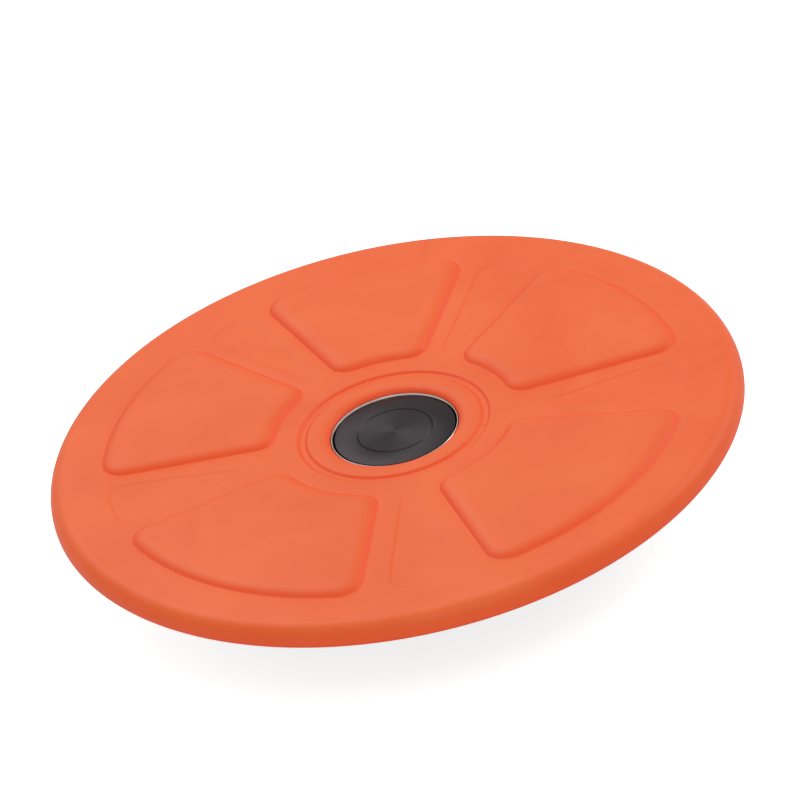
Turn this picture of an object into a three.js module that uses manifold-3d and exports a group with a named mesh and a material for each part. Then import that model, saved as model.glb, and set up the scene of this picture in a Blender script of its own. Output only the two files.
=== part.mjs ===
// Height-adjustable balance board: a round foam deck on a rigid core, with a threaded metal sleeve at its
// centre. A dome foot hangs in the sleeve on a coarse threaded stem, so turning the dome sets the height.
// Millimetres, +Z up, origin on the floor under the centre of the rubber foot, +Y through the narrow pad.

import * as THREE from "three";
import { mergeVertices } from "three/addons/utils/BufferGeometryUtils.js";
import Module from "manifold-3d";

// ---- Driving dimensions -------------------------------------------------------------------------------

const GAP = 0.3; // clearance between pieces that touch or are screwed together
const OVERSHOOT = 1; // how far a cutting shape runs past the face it opens

// Foam deck
const DECK_RADIUS = 200;
const RIM_THICKNESS = 13;
const RIM_TOP_FILLET = 6.5;
const RIM_BOTTOM_FILLET = 3;
const RIM_WALL = 16; // foam outside the core's edge
const SKIN_OVER_CORE = 4.7;

// Raised pads: the middle angle and the width of each, in degrees from +Y, anticlockwise from above
const PADS = [
  { middle: 0, width: 42 },
  { middle: 62, width: 47 },
  { middle: 137, width: 60 },
  { middle: -137, width: 60 },
  { middle: -62, width: 47 },
];
const PAD_TO_GROOVE = 12.6; // flat ring between the groove and the pads
const PAD_TO_EDGE = 31; // flat ring between the pads and the deck's edge
const PAD_HEIGHT = 3;
const PAD_SLOPE = 4; // plan width of the sloping wall round a pad
const PAD_CORNER = 11;
const PAD_ROOT = 0.4; // how far a pad's full outline is sunk into the deck

// Recessed paddles between the pads: angle, and half-widths at the inner and outer ends
const PADDLES = [
  { angle: 30, innerHalf: 3, outerHalf: 15 },
  { angle: 96.5, innerHalf: 3.5, outerHalf: 20 },
  { angle: 180, innerHalf: 4, outerHalf: 22 },
  { angle: -96.5, innerHalf: 3.5, outerHalf: 20 },
  { angle: -30, innerHalf: 3, outerHalf: 15 },
];
const PADDLE_INSET = 2.5; // how far a paddle's ends lie inside the pads' ends
const PADDLE_DEPTH = 1;
const PADDLE_CORNER = 12;

// Collar and ring groove round the centre hole, with three bridges across the groove
const COLLAR_WIDTH = 12.5;
const GROOVE_WIDTH = 6.6;
const GROOVE_DEPTH = 1.8;
const BRIDGE_ANGLES = [10, 130, 250];
const BRIDGE_WIDTH = 2.4;

// Rigid core and underside cover
const CORE_THICKNESS = 8;
const COVER_THICKNESS = 2.5;
const COVER_INSET = 6; // core left showing round the cover
const COVER_SCREWS = 8;
const COVER_SCREW_INSET = 18;
const CORE_OVER_SCREW = 2; // core left above a cover screw's blind hole
const INSERT_SHORT = 1; // how much shorter an insert is than the core is thick

// Threaded sleeve
const SLEEVE_BORE = 35.6;
const SLEEVE_WALL = 3;
const SLEEVE_LENGTH = 35.4;
const LIP_DROP = 2.6; // lip below the deck's top
const LIP_FLARE = 1.2;
const BARREL_WALL = 3.9; // round the index ring's pocket
const FLANGE_WIDTH = 13.5;
const FLANGE_THICKNESS = 3;
const FLANGE_SCREWS = 6;

// Threaded stem and its cap
const THREAD_CLEARANCE = 0.7; // radial, between the thread's crest and the sleeve
const THREAD_DEPTH = 1.8;
const THREAD_PITCH = 8;
const THREAD_STARTS = 3;
const THREAD_FLANK = 0.2; // one flank and the flat crest, as shares of the pitch
const THREAD_FLAT = 0.36;
const THREAD_ROWS = 4; // rows of facets in each pitch
const STEM_WALL = 6;
const STEM_WEB = 4;
const KEYWAYS = 3;
const KEY_ANGLE = 60; // of the first keyway, in degrees from +Y
const KEYWAY_WIDTH = 5;
const KEYWAY_DEPTH = 2.6;
const CAP_DROP = 3; // cap's face below the deck's top
const CAP_THICKNESS = 5;
const CAP_CHAMFER = 0.6;
const CAP_OVER_SCREW = 1.6; // cap left above a cap screw's tip
const CAP_SCREWS = 3;
const CAP_SCREW_CIRCLE = 18;
const CAP_RING_RADIUS = 21.5;
const CAP_RING_WIDTH = 0.7;
const CAP_RING_DEPTH = 0.4;
const STEM_FLANGE_WIDTH = 16;
const STEM_FLANGE_THICKNESS = 3.4;
const STEM_SCREWS = 6;
const STEM_SCREW_ANGLE = 30; // of the first stem screw, between the keyways
const STEM_SCREW_GRIP = 8; // depth of each stem screw in the dome

// Index ring and the snap ring below it
const INDEX_RING_HEIGHT = 5;
const INDEX_RING_WIDTH = 4;
const INDEX_NOTCH_RADIUS = 1;
const SNAP_RING_HEIGHT = 1.6;
const SNAP_RING_GROOVE = 1.4;
const SNAP_RING_OPENING = 10;
const SNAP_RING_SETBACK = 1; // its inner edge outside the sleeve's bore

// Dome
const DOME_RADIUS = 75; // of the upper edge
const DOME_HEIGHT = 53.5; // from its pole to its upper edge
const DOME_WALL = 4;
const DOME_FLOOR = 5.5;
const DOME_GAP = 3.2; // from the upper edge to the underside cover with the stem screwed right in
const SUPPORT_WALL = 9; // ring wall under the stem's flange

// Rubber foot and its stud
const FOOT_RADIUS = 24;
const FOOT_PATCH_RADIUS = 18;
const FOOT_THICKNESS = 6.6;
const FOOT_PROUD = 2.5; // how far the foot stands below the dome's pole
const FOOT_SHOULDER = [0.2, 0.6]; // heights of its rounded edge, as shares of the dome's height there
const STUD_RADIUS = 4;
const STUD_HEAD_RADIUS = 9;
const STUD_HEAD_THICKNESS = 2;
const STUD_OVER_NUT = 2;
const NUT_ACROSS_FLATS = 13;
const NUT_HEIGHT = 6.5;
const WASHER_RADIUS = 11;
const WASHER_THICKNESS = 1.6;

// Screws: shank radius, head radius and head height
const COVER_SCREW = { shank: 1.9, head: 3.8, headHeight: 1.8 };
const FLANGE_SCREW = { shank: 2.5, head: 4.4, headHeight: 2.4 };
const CAP_SCREW = { shank: 1.5, head: 2.8, headHeight: 1.8 };
const STEM_SCREW = { shank: 2, head: 3.4, headHeight: 2.2 };
const SOCKET_SHARE = 0.6; // a socket's radius as a share of its shank's
const INSERT_WALL = 1.3;

const DECK_SIDES = 64; // sides of the deck and its plates
const ROUND = 40; // sides of the sleeve, stem and dome
const HARDWARE_ROUND = 20; // sides of the foot and its stud, washer and nut
const SMALL_ROUND = 8; // sides of a screw
const FILLET_STEPS = 4; // facets in a quarter turn of a fillet
const PAD_STEPS = 7; // facets along a pad's outer edge
const CORNER_STEPS = 3; // facets round a pad's or a paddle's corner
const DOME_STEPS = 10; // facets from the foot's recess to the dome's upper edge

// ---- Worked-out places --------------------------------------------------------------------------------

const DOME_RIM = FOOT_PROUD + DOME_HEIGHT;
const COVER_BOTTOM = DOME_RIM + DOME_GAP;
const COVER_TOP = COVER_BOTTOM + COVER_THICKNESS;
const CORE_BOTTOM = COVER_TOP + GAP;
const CORE_TOP = CORE_BOTTOM + CORE_THICKNESS;
const DECK_TOP = CORE_TOP + GAP + SKIN_OVER_CORE;
const RIM_BOTTOM = DECK_TOP - RIM_THICKNESS;
const CORE_RADIUS = DECK_RADIUS - RIM_WALL;
const COVER_RADIUS = CORE_RADIUS - COVER_INSET;
const COVER_SCREW_CIRCLE = COVER_RADIUS - COVER_SCREW_INSET;

const FLANGE_TOP = CORE_BOTTOM - GAP;
const FLANGE_BOTTOM = FLANGE_TOP - FLANGE_THICKNESS;
const SLEEVE_TOP = DECK_TOP - LIP_DROP;
const SLEEVE_BOTTOM = SLEEVE_TOP - SLEEVE_LENGTH;
const SLEEVE_OUTER = SLEEVE_BORE + SLEEVE_WALL;
const INDEX_POCKET_RADIUS = SLEEVE_BORE + INDEX_RING_WIDTH;
const INDEX_RING_TOP = SLEEVE_BOTTOM + SNAP_RING_HEIGHT + SNAP_RING_GROOVE + 2 * GAP + INDEX_RING_HEIGHT;
const BARREL_RADIUS = INDEX_POCKET_RADIUS + BARREL_WALL;
const FLANGE_RADIUS = BARREL_RADIUS + FLANGE_WIDTH;
const FLANGE_SCREW_CIRCLE = (BARREL_RADIUS + FLANGE_RADIUS) / 2;
const HOLE_RADIUS = SLEEVE_BORE + LIP_FLARE + GAP;
const GROOVE_INNER_RADIUS = HOLE_RADIUS + COLLAR_WIDTH;
const GROOVE_OUTER_RADIUS = GROOVE_INNER_RADIUS + GROOVE_WIDTH;
const PAD_INNER_RADIUS = GROOVE_OUTER_RADIUS + PAD_TO_GROOVE;
const PAD_OUTER_RADIUS = DECK_RADIUS - PAD_TO_EDGE;
const PADDLE_INNER_RADIUS = PAD_INNER_RADIUS + PADDLE_INSET;
const PADDLE_OUTER_RADIUS = PAD_OUTER_RADIUS - PADDLE_INSET;

const THREAD_CREST = SLEEVE_BORE - THREAD_CLEARANCE;
const THREAD_ROOT = THREAD_CREST - THREAD_DEPTH;
const STEM_BORE = THREAD_ROOT - STEM_WALL;
const CAP_TOP = DECK_TOP - CAP_DROP;
const CAP_BOTTOM = CAP_TOP - CAP_THICKNESS;
const STEM_TOP = CAP_BOTTOM - GAP;
const STEM_FLANGE_RADIUS = THREAD_CREST + STEM_FLANGE_WIDTH;
const STEM_FLANGE_TOP = SLEEVE_BOTTOM - 2 * GAP;
const STEM_FLANGE_BOTTOM = STEM_FLANGE_TOP - STEM_FLANGE_THICKNESS;
const STEM_SEAT = STEM_FLANGE_BOTTOM - GAP;
const SUPPORT_INNER = STEM_FLANGE_RADIUS - SUPPORT_WALL;
const STEM_SCREW_CIRCLE = STEM_FLANGE_RADIUS - SUPPORT_WALL / 2;

const DOME_SPHERE = (DOME_RADIUS ** 2 + DOME_HEIGHT ** 2) / (2 * DOME_HEIGHT);
const DOME_CENTRE = FOOT_PROUD + DOME_SPHERE;
const DOME_INNER_SPHERE = DOME_SPHERE - DOME_WALL;
const DOME_FLOOR_TOP = FOOT_THICKNESS + GAP + DOME_FLOOR;

// ---- Geometry helpers ---------------------------------------------------------------------------------

const wasm = await Module();
wasm.setup();

const turn = (degrees) => THREE.MathUtils.degToRad(degrees);

// A point at an angle in degrees from +Y, anticlockwise from above.
const polar = (radius, degrees) => [-radius * Math.sin(turn(degrees)), radius * Math.cos(turn(degrees))];

// Points of a quarter-turn fillet in the radius-height plane. Its circle reaches out to the radius edgeR,
// and it starts at an angle in degrees from the outward direction.
function fillet(edgeR, centreZ, radius, from) {
  return Array.from({ length: FILLET_STEPS + 1 }, (_, i) => {
    const angle = turn(from + (90 * i) / FILLET_STEPS);
    return [edgeR - radius + radius * Math.cos(angle), centreZ + radius * Math.sin(angle)];
  });
}

// A solid of revolution about Z from a closed outline of [radius, height] points, given anticlockwise.
function revolve(outline, sides = ROUND) {
  const points = [...outline, outline[0]].map(([r, z]) => new THREE.Vector2(Math.max(r, 0), z));
  return new THREE.LatheGeometry(points, sides).rotateX(Math.PI / 2);
}

function toSolid(geometry) {
  const bare = geometry.index ? geometry.toNonIndexed() : geometry.clone();
  bare.deleteAttribute("normal");
  bare.deleteAttribute("uv");
  const merged = mergeVertices(bare, 1e-4);
  return new wasm.Manifold(
    new wasm.Mesh({
      numProp: 3,
      vertProperties: merged.attributes.position.array,
      triVerts: new Uint32Array(merged.index.array),
    }),
  );
}

function toGeometry(solid) {
  const mesh = solid.getMesh();
  const geometry = new THREE.BufferGeometry();
  geometry.setAttribute("position", new THREE.BufferAttribute(mesh.vertProperties, 3));
  geometry.setIndex(new THREE.BufferAttribute(mesh.triVerts, 1));
  geometry.computeVertexNormals();
  return geometry;
}

// A vertical cylinder between two heights, centred on x, y.
function post(radius, bottom, top, [x, y] = [0, 0], sides = SMALL_ROUND) {
  return new THREE.CylinderGeometry(radius, radius, top - bottom, sides)
    .rotateX(Math.PI / 2)
    .translate(x, y, (top + bottom) / 2);
}

// A block from an inner to an outer radius at an angle, for keys, slots and bridges.
function radialBlock(inner, outer, width, bottom, top, degrees) {
  return new THREE.BoxGeometry(width, outer - inner, top - bottom)
    .translate(0, (inner + outer) / 2, (top + bottom) / 2)
    .rotateZ(turn(degrees));
}

const cut = (solid, tools) => tools.reduce((left, tool) => left.subtract(toSolid(tool)), solid);
const join = (solid, extras) => extras.reduce((whole, extra) => whole.add(toSolid(extra)), solid);
const ringAngles = (count, first = 0) => Array.from({ length: count }, (_, i) => first + (360 * i) / count);

// An outline whose corners are rounded, from [x, y, corner radius] points given in order.
function roundedOutline(corners) {
  const shape = [];
  corners.forEach(([x, y, radius], i) => {
    const corner = new THREE.Vector2(x, y);
    const before = new THREE.Vector2(...corners.at(i - 1)).sub(corner);
    const after = new THREE.Vector2(...corners[(i + 1) % corners.length]).sub(corner);
    const reach = Math.min(radius, before.length() / 2, after.length() / 2);
    const start = corner.clone().addScaledVector(before.normalize(), reach);
    const end = corner.clone().addScaledVector(after.normalize(), reach);
    const bend = new THREE.QuadraticBezierCurve(start, corner, end);
    shape.push(...(reach > 0 ? bend.getPoints(CORNER_STEPS) : [corner]));
  });
  return shape;
}

// ---- Assembly -----------------------------------------------------------------------------------------

const board = new THREE.Group();

function place(name, geometry, finish) {
  const mesh = new THREE.Mesh(geometry, new THREE.MeshStandardMaterial(finish));
  mesh.name = name;
  board.add(mesh);
}

const FOAM = { color: 0xee6b3a, roughness: 0.6, metalness: 0 };
const PLYWOOD = { color: 0xc9a673, roughness: 0.7, metalness: 0 };
const BLACK_PLASTIC = { color: 0x1d1d1f, roughness: 0.5, metalness: 0 };
const STEEL = { color: 0xb9bcc0, roughness: 0.3, metalness: 1 };
const BLACK_METAL = { color: 0x2a2426, roughness: 0.35, metalness: 1 };
const BRASS = { color: 0xc2a14d, roughness: 0.35, metalness: 1 };
const RUBBER = { color: 0x161616, roughness: 0.85, metalness: 0 };
const ACETAL = { color: 0xe6e4dc, roughness: 0.4, metalness: 0 };

// Foam deck: a revolved body open underneath for the core, with pads added and paddles cut into its top.
function padGeometry({ middle, width }) {
  const half = turn(width / 2);
  const inner = PAD_INNER_RADIUS + PAD_SLOPE;
  const outer = PAD_OUTER_RADIUS - PAD_SLOPE;
  const corners = [];
  for (let i = 0; i <= PAD_STEPS; i++) {
    const angle = half - (2 * half * i) / PAD_STEPS;
    const radius = i === 0 || i === PAD_STEPS ? PAD_CORNER : 0;
    corners.push([-outer * Math.sin(angle), outer * Math.cos(angle), radius]);
  }
  corners.push([inner * Math.sin(half), inner * Math.cos(half), PAD_CORNER / 2]);
  corners.push([-inner * Math.sin(half), inner * Math.cos(half), PAD_CORNER / 2]);
  const shape = new THREE.Shape(roundedOutline(corners).reverse());
  return new THREE.ExtrudeGeometry(shape, {
    depth: PAD_ROOT,
    bevelEnabled: true,
    bevelThickness: PAD_HEIGHT,
    bevelSize: PAD_SLOPE,
    bevelOffset: 0,
    bevelSegments: 1,
  })
    .translate(0, 0, DECK_TOP - PAD_ROOT)
    .rotateZ(turn(middle));
}

function paddleGeometry({ angle, innerHalf, outerHalf }) {
  const shape = new THREE.Shape(
    roundedOutline([
      [-innerHalf, PADDLE_INNER_RADIUS, innerHalf],
      [innerHalf, PADDLE_INNER_RADIUS, innerHalf],
      [outerHalf, PADDLE_OUTER_RADIUS, PADDLE_CORNER],
      [-outerHalf, PADDLE_OUTER_RADIUS, PADDLE_CORNER],
    ]),
  );
  return new THREE.ExtrudeGeometry(shape, { depth: 2 * PADDLE_DEPTH, bevelEnabled: false })
    .translate(0, 0, DECK_TOP - PADDLE_DEPTH)
    .rotateZ(turn(angle));
}

function deckCushion() {
  const collarFillet = DECK_TOP - SLEEVE_TOP + LIP_FLARE;
  const pocketRadius = CORE_RADIUS + GAP;
  const pocketTop = CORE_TOP + GAP;
  const grooveFloor = DECK_TOP - GROOVE_DEPTH;
  const outline = [
    [HOLE_RADIUS, pocketTop],
    [pocketRadius, pocketTop],
    [pocketRadius, RIM_BOTTOM],
    ...fillet(DECK_RADIUS, RIM_BOTTOM + RIM_BOTTOM_FILLET, RIM_BOTTOM_FILLET, -90),
    ...fillet(DECK_RADIUS, DECK_TOP - RIM_TOP_FILLET, RIM_TOP_FILLET, 0),
    [GROOVE_OUTER_RADIUS, DECK_TOP],
    [GROOVE_OUTER_RADIUS - GROOVE_DEPTH, grooveFloor],
    [GROOVE_INNER_RADIUS + GROOVE_DEPTH, grooveFloor],
    [GROOVE_INNER_RADIUS, DECK_TOP],
    ...fillet(HOLE_RADIUS + 2 * collarFillet, DECK_TOP - collarFillet, collarFillet, 90),
  ];
  const bridges = BRIDGE_ANGLES.map((angle) =>
    radialBlock(
      GROOVE_INNER_RADIUS + GAP,
      GROOVE_OUTER_RADIUS - GAP,
      BRIDGE_WIDTH,
      grooveFloor - GROOVE_DEPTH / 2,
      DECK_TOP - GAP,
      angle,
    ),
  );
  const body = join(toSolid(revolve(outline, DECK_SIDES)), [...PADS.map(padGeometry), ...bridges]);
  return toGeometry(cut(body, PADDLES.map(paddleGeometry)));
}
place("deck_cushion", deckCushion(), FOAM);

// Core plate: a rigid disc with a hole for the sleeve and holes for the threaded inserts.
const insertRadius = FLANGE_SCREW.shank + INSERT_WALL;
const flangeScrewSpots = ringAngles(FLANGE_SCREWS).map((angle) => polar(FLANGE_SCREW_CIRCLE, angle));
const coverScrewSpots = ringAngles(COVER_SCREWS).map((angle) => polar(COVER_SCREW_CIRCLE, angle));
const coverScrewTop = CORE_TOP - CORE_OVER_SCREW;
const insertHeight = CORE_THICKNESS - INSERT_SHORT;

function corePlate() {
  const ring = revolve([
    [SLEEVE_OUTER + GAP, CORE_BOTTOM],
    [CORE_RADIUS, CORE_BOTTOM],
    [CORE_RADIUS, CORE_TOP],
    [SLEEVE_OUTER + GAP, CORE_TOP],
  ], DECK_SIDES);
  const holes = [
    ...flangeScrewSpots.map((spot) =>
      post(insertRadius + GAP, CORE_BOTTOM - OVERSHOOT, CORE_TOP + OVERSHOOT, spot)),
    ...coverScrewSpots.map((spot) =>
      post(COVER_SCREW.shank + GAP, CORE_BOTTOM - OVERSHOOT, coverScrewTop + GAP, spot)),
  ];
  return toGeometry(cut(toSolid(ring), holes));
}
place("core_plate", corePlate(), PLYWOOD);

flangeScrewSpots.forEach((spot, i) => {
  const bottom = CORE_BOTTOM + GAP;
  const top = bottom + insertHeight;
  const insert = toSolid(post(insertRadius, bottom, top, spot));
  const hole = post(FLANGE_SCREW.shank + GAP, bottom - OVERSHOOT, top + OVERSHOOT, spot);
  place(`core_insert_${i + 1}`, toGeometry(cut(insert, [hole])), BRASS);
});

// Underside cover: a thin plate round the sleeve's flange, screwed up into the core.
const coverOpening = FLANGE_RADIUS + 2 * GAP;

function undersideCover() {
  const plate = revolve([
    [coverOpening, COVER_BOTTOM],
    [COVER_RADIUS, COVER_BOTTOM],
    [COVER_RADIUS, COVER_TOP],
    [coverOpening, COVER_TOP],
  ], DECK_SIDES);
  const holes = coverScrewSpots.map((spot) =>
    post(COVER_SCREW.shank + GAP, COVER_BOTTOM - OVERSHOOT, COVER_TOP + OVERSHOOT, spot));
  return toGeometry(cut(toSolid(plate), holes));
}
place("underside_cover", undersideCover(), BLACK_PLASTIC);

// A pan-head screw driven upwards: its head's top sits against the seat, its shank rises to the tip.
function screwUp({ shank, head, headHeight }, seat, tip, spot) {
  const headSolid = toSolid(post(head, seat - headHeight, seat, spot));
  const socket = post(shank * SOCKET_SHARE, seat - headHeight - OVERSHOOT, seat - headHeight / 2, spot, 6);
  return toGeometry(cut(join(headSolid, [post(shank, seat - headHeight / 4, tip, spot)]), [socket]));
}

// The same screw driven downwards into the piece below the seat.
function screwDown({ shank, head, headHeight }, seat, tip, spot) {
  const headSolid = toSolid(post(head, seat, seat + headHeight, spot));
  const socket = post(shank * SOCKET_SHARE, seat + headHeight / 2, seat + headHeight + OVERSHOOT, spot, 6);
  return toGeometry(cut(join(headSolid, [post(shank, tip, seat + headHeight / 4, spot)]), [socket]));
}

coverScrewSpots.forEach((spot, i) => {
  place(`cover_screw_${i + 1}`, screwUp(COVER_SCREW, COVER_BOTTOM - GAP, coverScrewTop, spot), STEEL);
});

// Threaded sleeve: a lip flared at the deck's hole, a tube through the core, a flange below the core and a
// thicker barrel that holds the index ring and the snap ring.
function threadedSleeve() {
  const snapBottom = SLEEVE_BOTTOM + SNAP_RING_GROOVE;
  const snapTop = snapBottom + SNAP_RING_HEIGHT + GAP;
  const outline = [
    [INDEX_POCKET_RADIUS, SLEEVE_BOTTOM],
    [BARREL_RADIUS, SLEEVE_BOTTOM],
    [BARREL_RADIUS, FLANGE_BOTTOM],
    [FLANGE_RADIUS, FLANGE_BOTTOM],
    [FLANGE_RADIUS, FLANGE_TOP],
    [SLEEVE_OUTER, FLANGE_TOP],
    [SLEEVE_OUTER, CORE_TOP - SLEEVE_WALL],
    [SLEEVE_BORE + LIP_FLARE, CORE_TOP],
    [SLEEVE_BORE + LIP_FLARE, SLEEVE_TOP],
    [SLEEVE_BORE + LIP_FLARE / 2, SLEEVE_TOP],
    [SLEEVE_BORE, SLEEVE_TOP - LIP_FLARE],
    [SLEEVE_BORE, INDEX_RING_TOP + GAP],
    [INDEX_POCKET_RADIUS, INDEX_RING_TOP + GAP],
    [INDEX_POCKET_RADIUS, snapTop],
    [INDEX_POCKET_RADIUS + SNAP_RING_GROOVE, snapTop],
    [INDEX_POCKET_RADIUS + SNAP_RING_GROOVE, snapBottom],
    [INDEX_POCKET_RADIUS, snapBottom],
  ];
  const holes = flangeScrewSpots.map((spot) =>
    post(FLANGE_SCREW.shank + GAP, FLANGE_BOTTOM - OVERSHOOT, FLANGE_TOP + OVERSHOOT, spot));
  return toGeometry(cut(toSolid(revolve(outline)), holes));
}
place("threaded_sleeve", threadedSleeve(), STEEL);

flangeScrewSpots.forEach((spot, i) => {
  const tip = CORE_BOTTOM + insertHeight - INSERT_SHORT;
  place(`flange_screw_${i + 1}`, screwUp(FLANGE_SCREW, FLANGE_BOTTOM - GAP, tip, spot), STEEL);
});

// Snap ring: an open ring sprung into the groove at the foot of the sleeve.
function retainingRing() {
  const bottom = SLEEVE_BOTTOM + SNAP_RING_GROOVE + GAP / 2;
  const top = bottom + SNAP_RING_HEIGHT;
  const inner = SLEEVE_BORE + SNAP_RING_SETBACK;
  const outer = INDEX_POCKET_RADIUS + SNAP_RING_GROOVE - GAP;
  const ring = revolve([
    [inner, bottom],
    [outer, bottom],
    [outer, top],
    [inner, top],
  ]);
  const opening = radialBlock(
    inner - OVERSHOOT,
    outer + OVERSHOOT,
    SNAP_RING_OPENING,
    bottom - OVERSHOOT,
    top + OVERSHOOT,
    0,
  );
  return toGeometry(cut(toSolid(ring), [opening]));
}
place("retaining_ring", retainingRing(), STEEL);

// Index ring: turns in the sleeve's barrel. Its keys ride in the stem's keyways, so the stem turns it.
function indexRing() {
  const top = INDEX_RING_TOP;
  const bottom = top - INDEX_RING_HEIGHT;
  const outer = INDEX_POCKET_RADIUS - GAP;
  const ring = revolve([
    [SLEEVE_BORE, bottom],
    [outer, bottom],
    [outer, top],
    [SLEEVE_BORE, top],
  ]);
  const keys = ringAngles(KEYWAYS, KEY_ANGLE).map((angle) =>
    radialBlock(
      THREAD_CREST - KEYWAY_DEPTH + 2 * GAP,
      SLEEVE_BORE + INDEX_RING_WIDTH / 2,
      KEYWAY_WIDTH - 4 * GAP,
      bottom,
      top,
      angle,
    ),
  );
  const notches = ringAngles(FLANGE_SCREWS).map((angle) => {
    const spot = polar(outer - 2 * INDEX_NOTCH_RADIUS, angle);
    return post(INDEX_NOTCH_RADIUS, bottom - OVERSHOOT, bottom + INDEX_NOTCH_RADIUS, spot);
  });
  return toGeometry(cut(join(toSolid(ring), keys), notches));
}
place("index_ring", indexRing(), ACETAL);

// Stem: a tube with a coarse multi-start thread outside, keyways down its length, a web at the top for the
// cap's screws and a flange at the bottom that is screwed to the dome.
function threadRadius(angle, height) {
  const phase = (THREAD_STARTS * angle) / (2 * Math.PI) - height / THREAD_PITCH;
  const wave = phase - Math.floor(phase);
  const fromFlank = THREAD_FLAT / 2 + THREAD_FLANK - Math.abs(wave - 0.5);
  return THREAD_ROOT + THREAD_DEPTH * THREE.MathUtils.clamp(fromFlank / THREAD_FLANK, 0, 1);
}

function threadGeometry(bottom, top) {
  const sides = ROUND;
  const rows = Math.round(((top - bottom) / THREAD_PITCH) * THREAD_ROWS);
  const points = [];
  for (let row = 0; row <= rows; row++) {
    const height = bottom + ((top - bottom) * row) / rows;
    for (let side = 0; side < sides; side++) {
      const angle = (2 * Math.PI * side) / sides;
      const radius = threadRadius(angle, height);
      points.push(radius * Math.cos(angle), radius * Math.sin(angle), height);
    }
  }
  const triangles = [];
  for (let row = 0; row < rows; row++) {
    for (let side = 0; side < sides; side++) {
      const next = (side + 1) % sides;
      const [a, b] = [row * sides + side, row * sides + next];
      triangles.push(a, b, b + sides, a, b + sides, a + sides);
    }
  }
  const bottomCentre = points.length / 3;
  points.push(0, 0, bottom, 0, 0, top);
  for (let side = 0; side < sides; side++) {
    const next = (side + 1) % sides;
    triangles.push(bottomCentre, next, side);
    triangles.push(bottomCentre + 1, rows * sides + side, rows * sides + next);
  }
  const geometry = new THREE.BufferGeometry();
  geometry.setAttribute("position", new THREE.Float32BufferAttribute(points, 3));
  geometry.setIndex(triangles);
  return geometry;
}

const capScrewSpots = ringAngles(CAP_SCREWS).map((angle) => polar(CAP_SCREW_CIRCLE, angle));
const stemScrewAngles = ringAngles(STEM_SCREWS, STEM_SCREW_ANGLE);
const stemScrewSpots = stemScrewAngles.map((angle) => polar(STEM_SCREW_CIRCLE, angle));

function threadedStem() {
  const flange = post(STEM_FLANGE_RADIUS, STEM_FLANGE_BOTTOM, STEM_FLANGE_TOP, [0, 0], ROUND);
  const screwHeadRoom = STEM_SCREW.headHeight + GAP;
  const webBottom = STEM_TOP - STEM_WEB;
  const above = STEM_TOP + OVERSHOOT;
  const below = STEM_FLANGE_BOTTOM - OVERSHOOT;
  const keyway = [THREAD_CREST - KEYWAY_DEPTH, THREAD_CREST + OVERSHOOT, KEYWAY_WIDTH];
  const cuts = [
    post(STEM_BORE, below, webBottom, [0, 0], ROUND / 2),
    ...ringAngles(KEYWAYS, KEY_ANGLE).map((angle) => radialBlock(...keyway, STEM_FLANGE_TOP, above, angle)),
    ...capScrewSpots.map((spot) => post(CAP_SCREW.shank + GAP, webBottom - OVERSHOOT, above, spot)),
    ...stemScrewSpots.map((spot) => post(STEM_SCREW.shank + GAP, below, above, spot)),
    ...stemScrewSpots.map((spot) =>
      post(STEM_SCREW.head + GAP, STEM_FLANGE_TOP - screwHeadRoom, above, spot)),
  ];
  const thread = toSolid(threadGeometry(STEM_FLANGE_TOP - OVERSHOOT, STEM_TOP));
  return toGeometry(cut(join(thread, [flange]), cuts));
}
place("threaded_stem", threadedStem(), BLACK_PLASTIC);

stemScrewSpots.forEach((spot, i) => {
  const seat = STEM_FLANGE_TOP - STEM_SCREW.headHeight;
  place(`stem_screw_${i + 1}`, screwDown(STEM_SCREW, seat, STEM_SEAT - STEM_SCREW_GRIP, spot), STEEL);
});

// Hub cap: the turned disc seen in the deck's hole, with one engraved ring and blind screw holes below.
const capScrewTip = CAP_TOP - CAP_OVER_SCREW;

function hubCap() {
  const ringOuter = CAP_RING_RADIUS + CAP_RING_WIDTH / 2;
  const ringInner = CAP_RING_RADIUS - CAP_RING_WIDTH / 2;
  const disc = revolve([
    [0, CAP_BOTTOM],
    [THREAD_CREST, CAP_BOTTOM],
    [THREAD_CREST, CAP_TOP - CAP_CHAMFER],
    [THREAD_CREST - CAP_CHAMFER, CAP_TOP],
    [ringOuter, CAP_TOP],
    [CAP_RING_RADIUS, CAP_TOP - CAP_RING_DEPTH],
    [ringInner, CAP_TOP],
    [0, CAP_TOP],
  ]);
  const holes = capScrewSpots.map((spot) =>
    post(CAP_SCREW.shank + GAP, CAP_BOTTOM - OVERSHOOT, capScrewTip + GAP, spot));
  return toGeometry(cut(toSolid(disc), holes));
}
place("hub_cap", hubCap(), BLACK_METAL);

capScrewSpots.forEach((spot, i) => {
  place(`cap_screw_${i + 1}`, screwUp(CAP_SCREW, STEM_TOP - STEM_WEB - GAP, capScrewTip, spot), STEEL);
});

// Dome: a spherical bowl with a recess for the foot and a ring wall that carries the stem's flange.
const sphereHeight = (radius, r) => DOME_CENTRE - Math.sqrt(radius ** 2 - r ** 2);
const sphereReach = (radius, z) => Math.sqrt(radius ** 2 - (DOME_CENTRE - z) ** 2);

function sphereArc(radius, fromR, toR, steps) {
  const [from, to] = [fromR, toR].map((r) => Math.asin(r / radius));
  return Array.from({ length: steps + 1 }, (_, i) => {
    const angle = from + ((to - from) * i) / steps;
    return [radius * Math.sin(angle), DOME_CENTRE - radius * Math.cos(angle)];
  });
}

const recessRadius = FOOT_RADIUS + GAP;
const recessTop = FOOT_THICKNESS + GAP;

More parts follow.
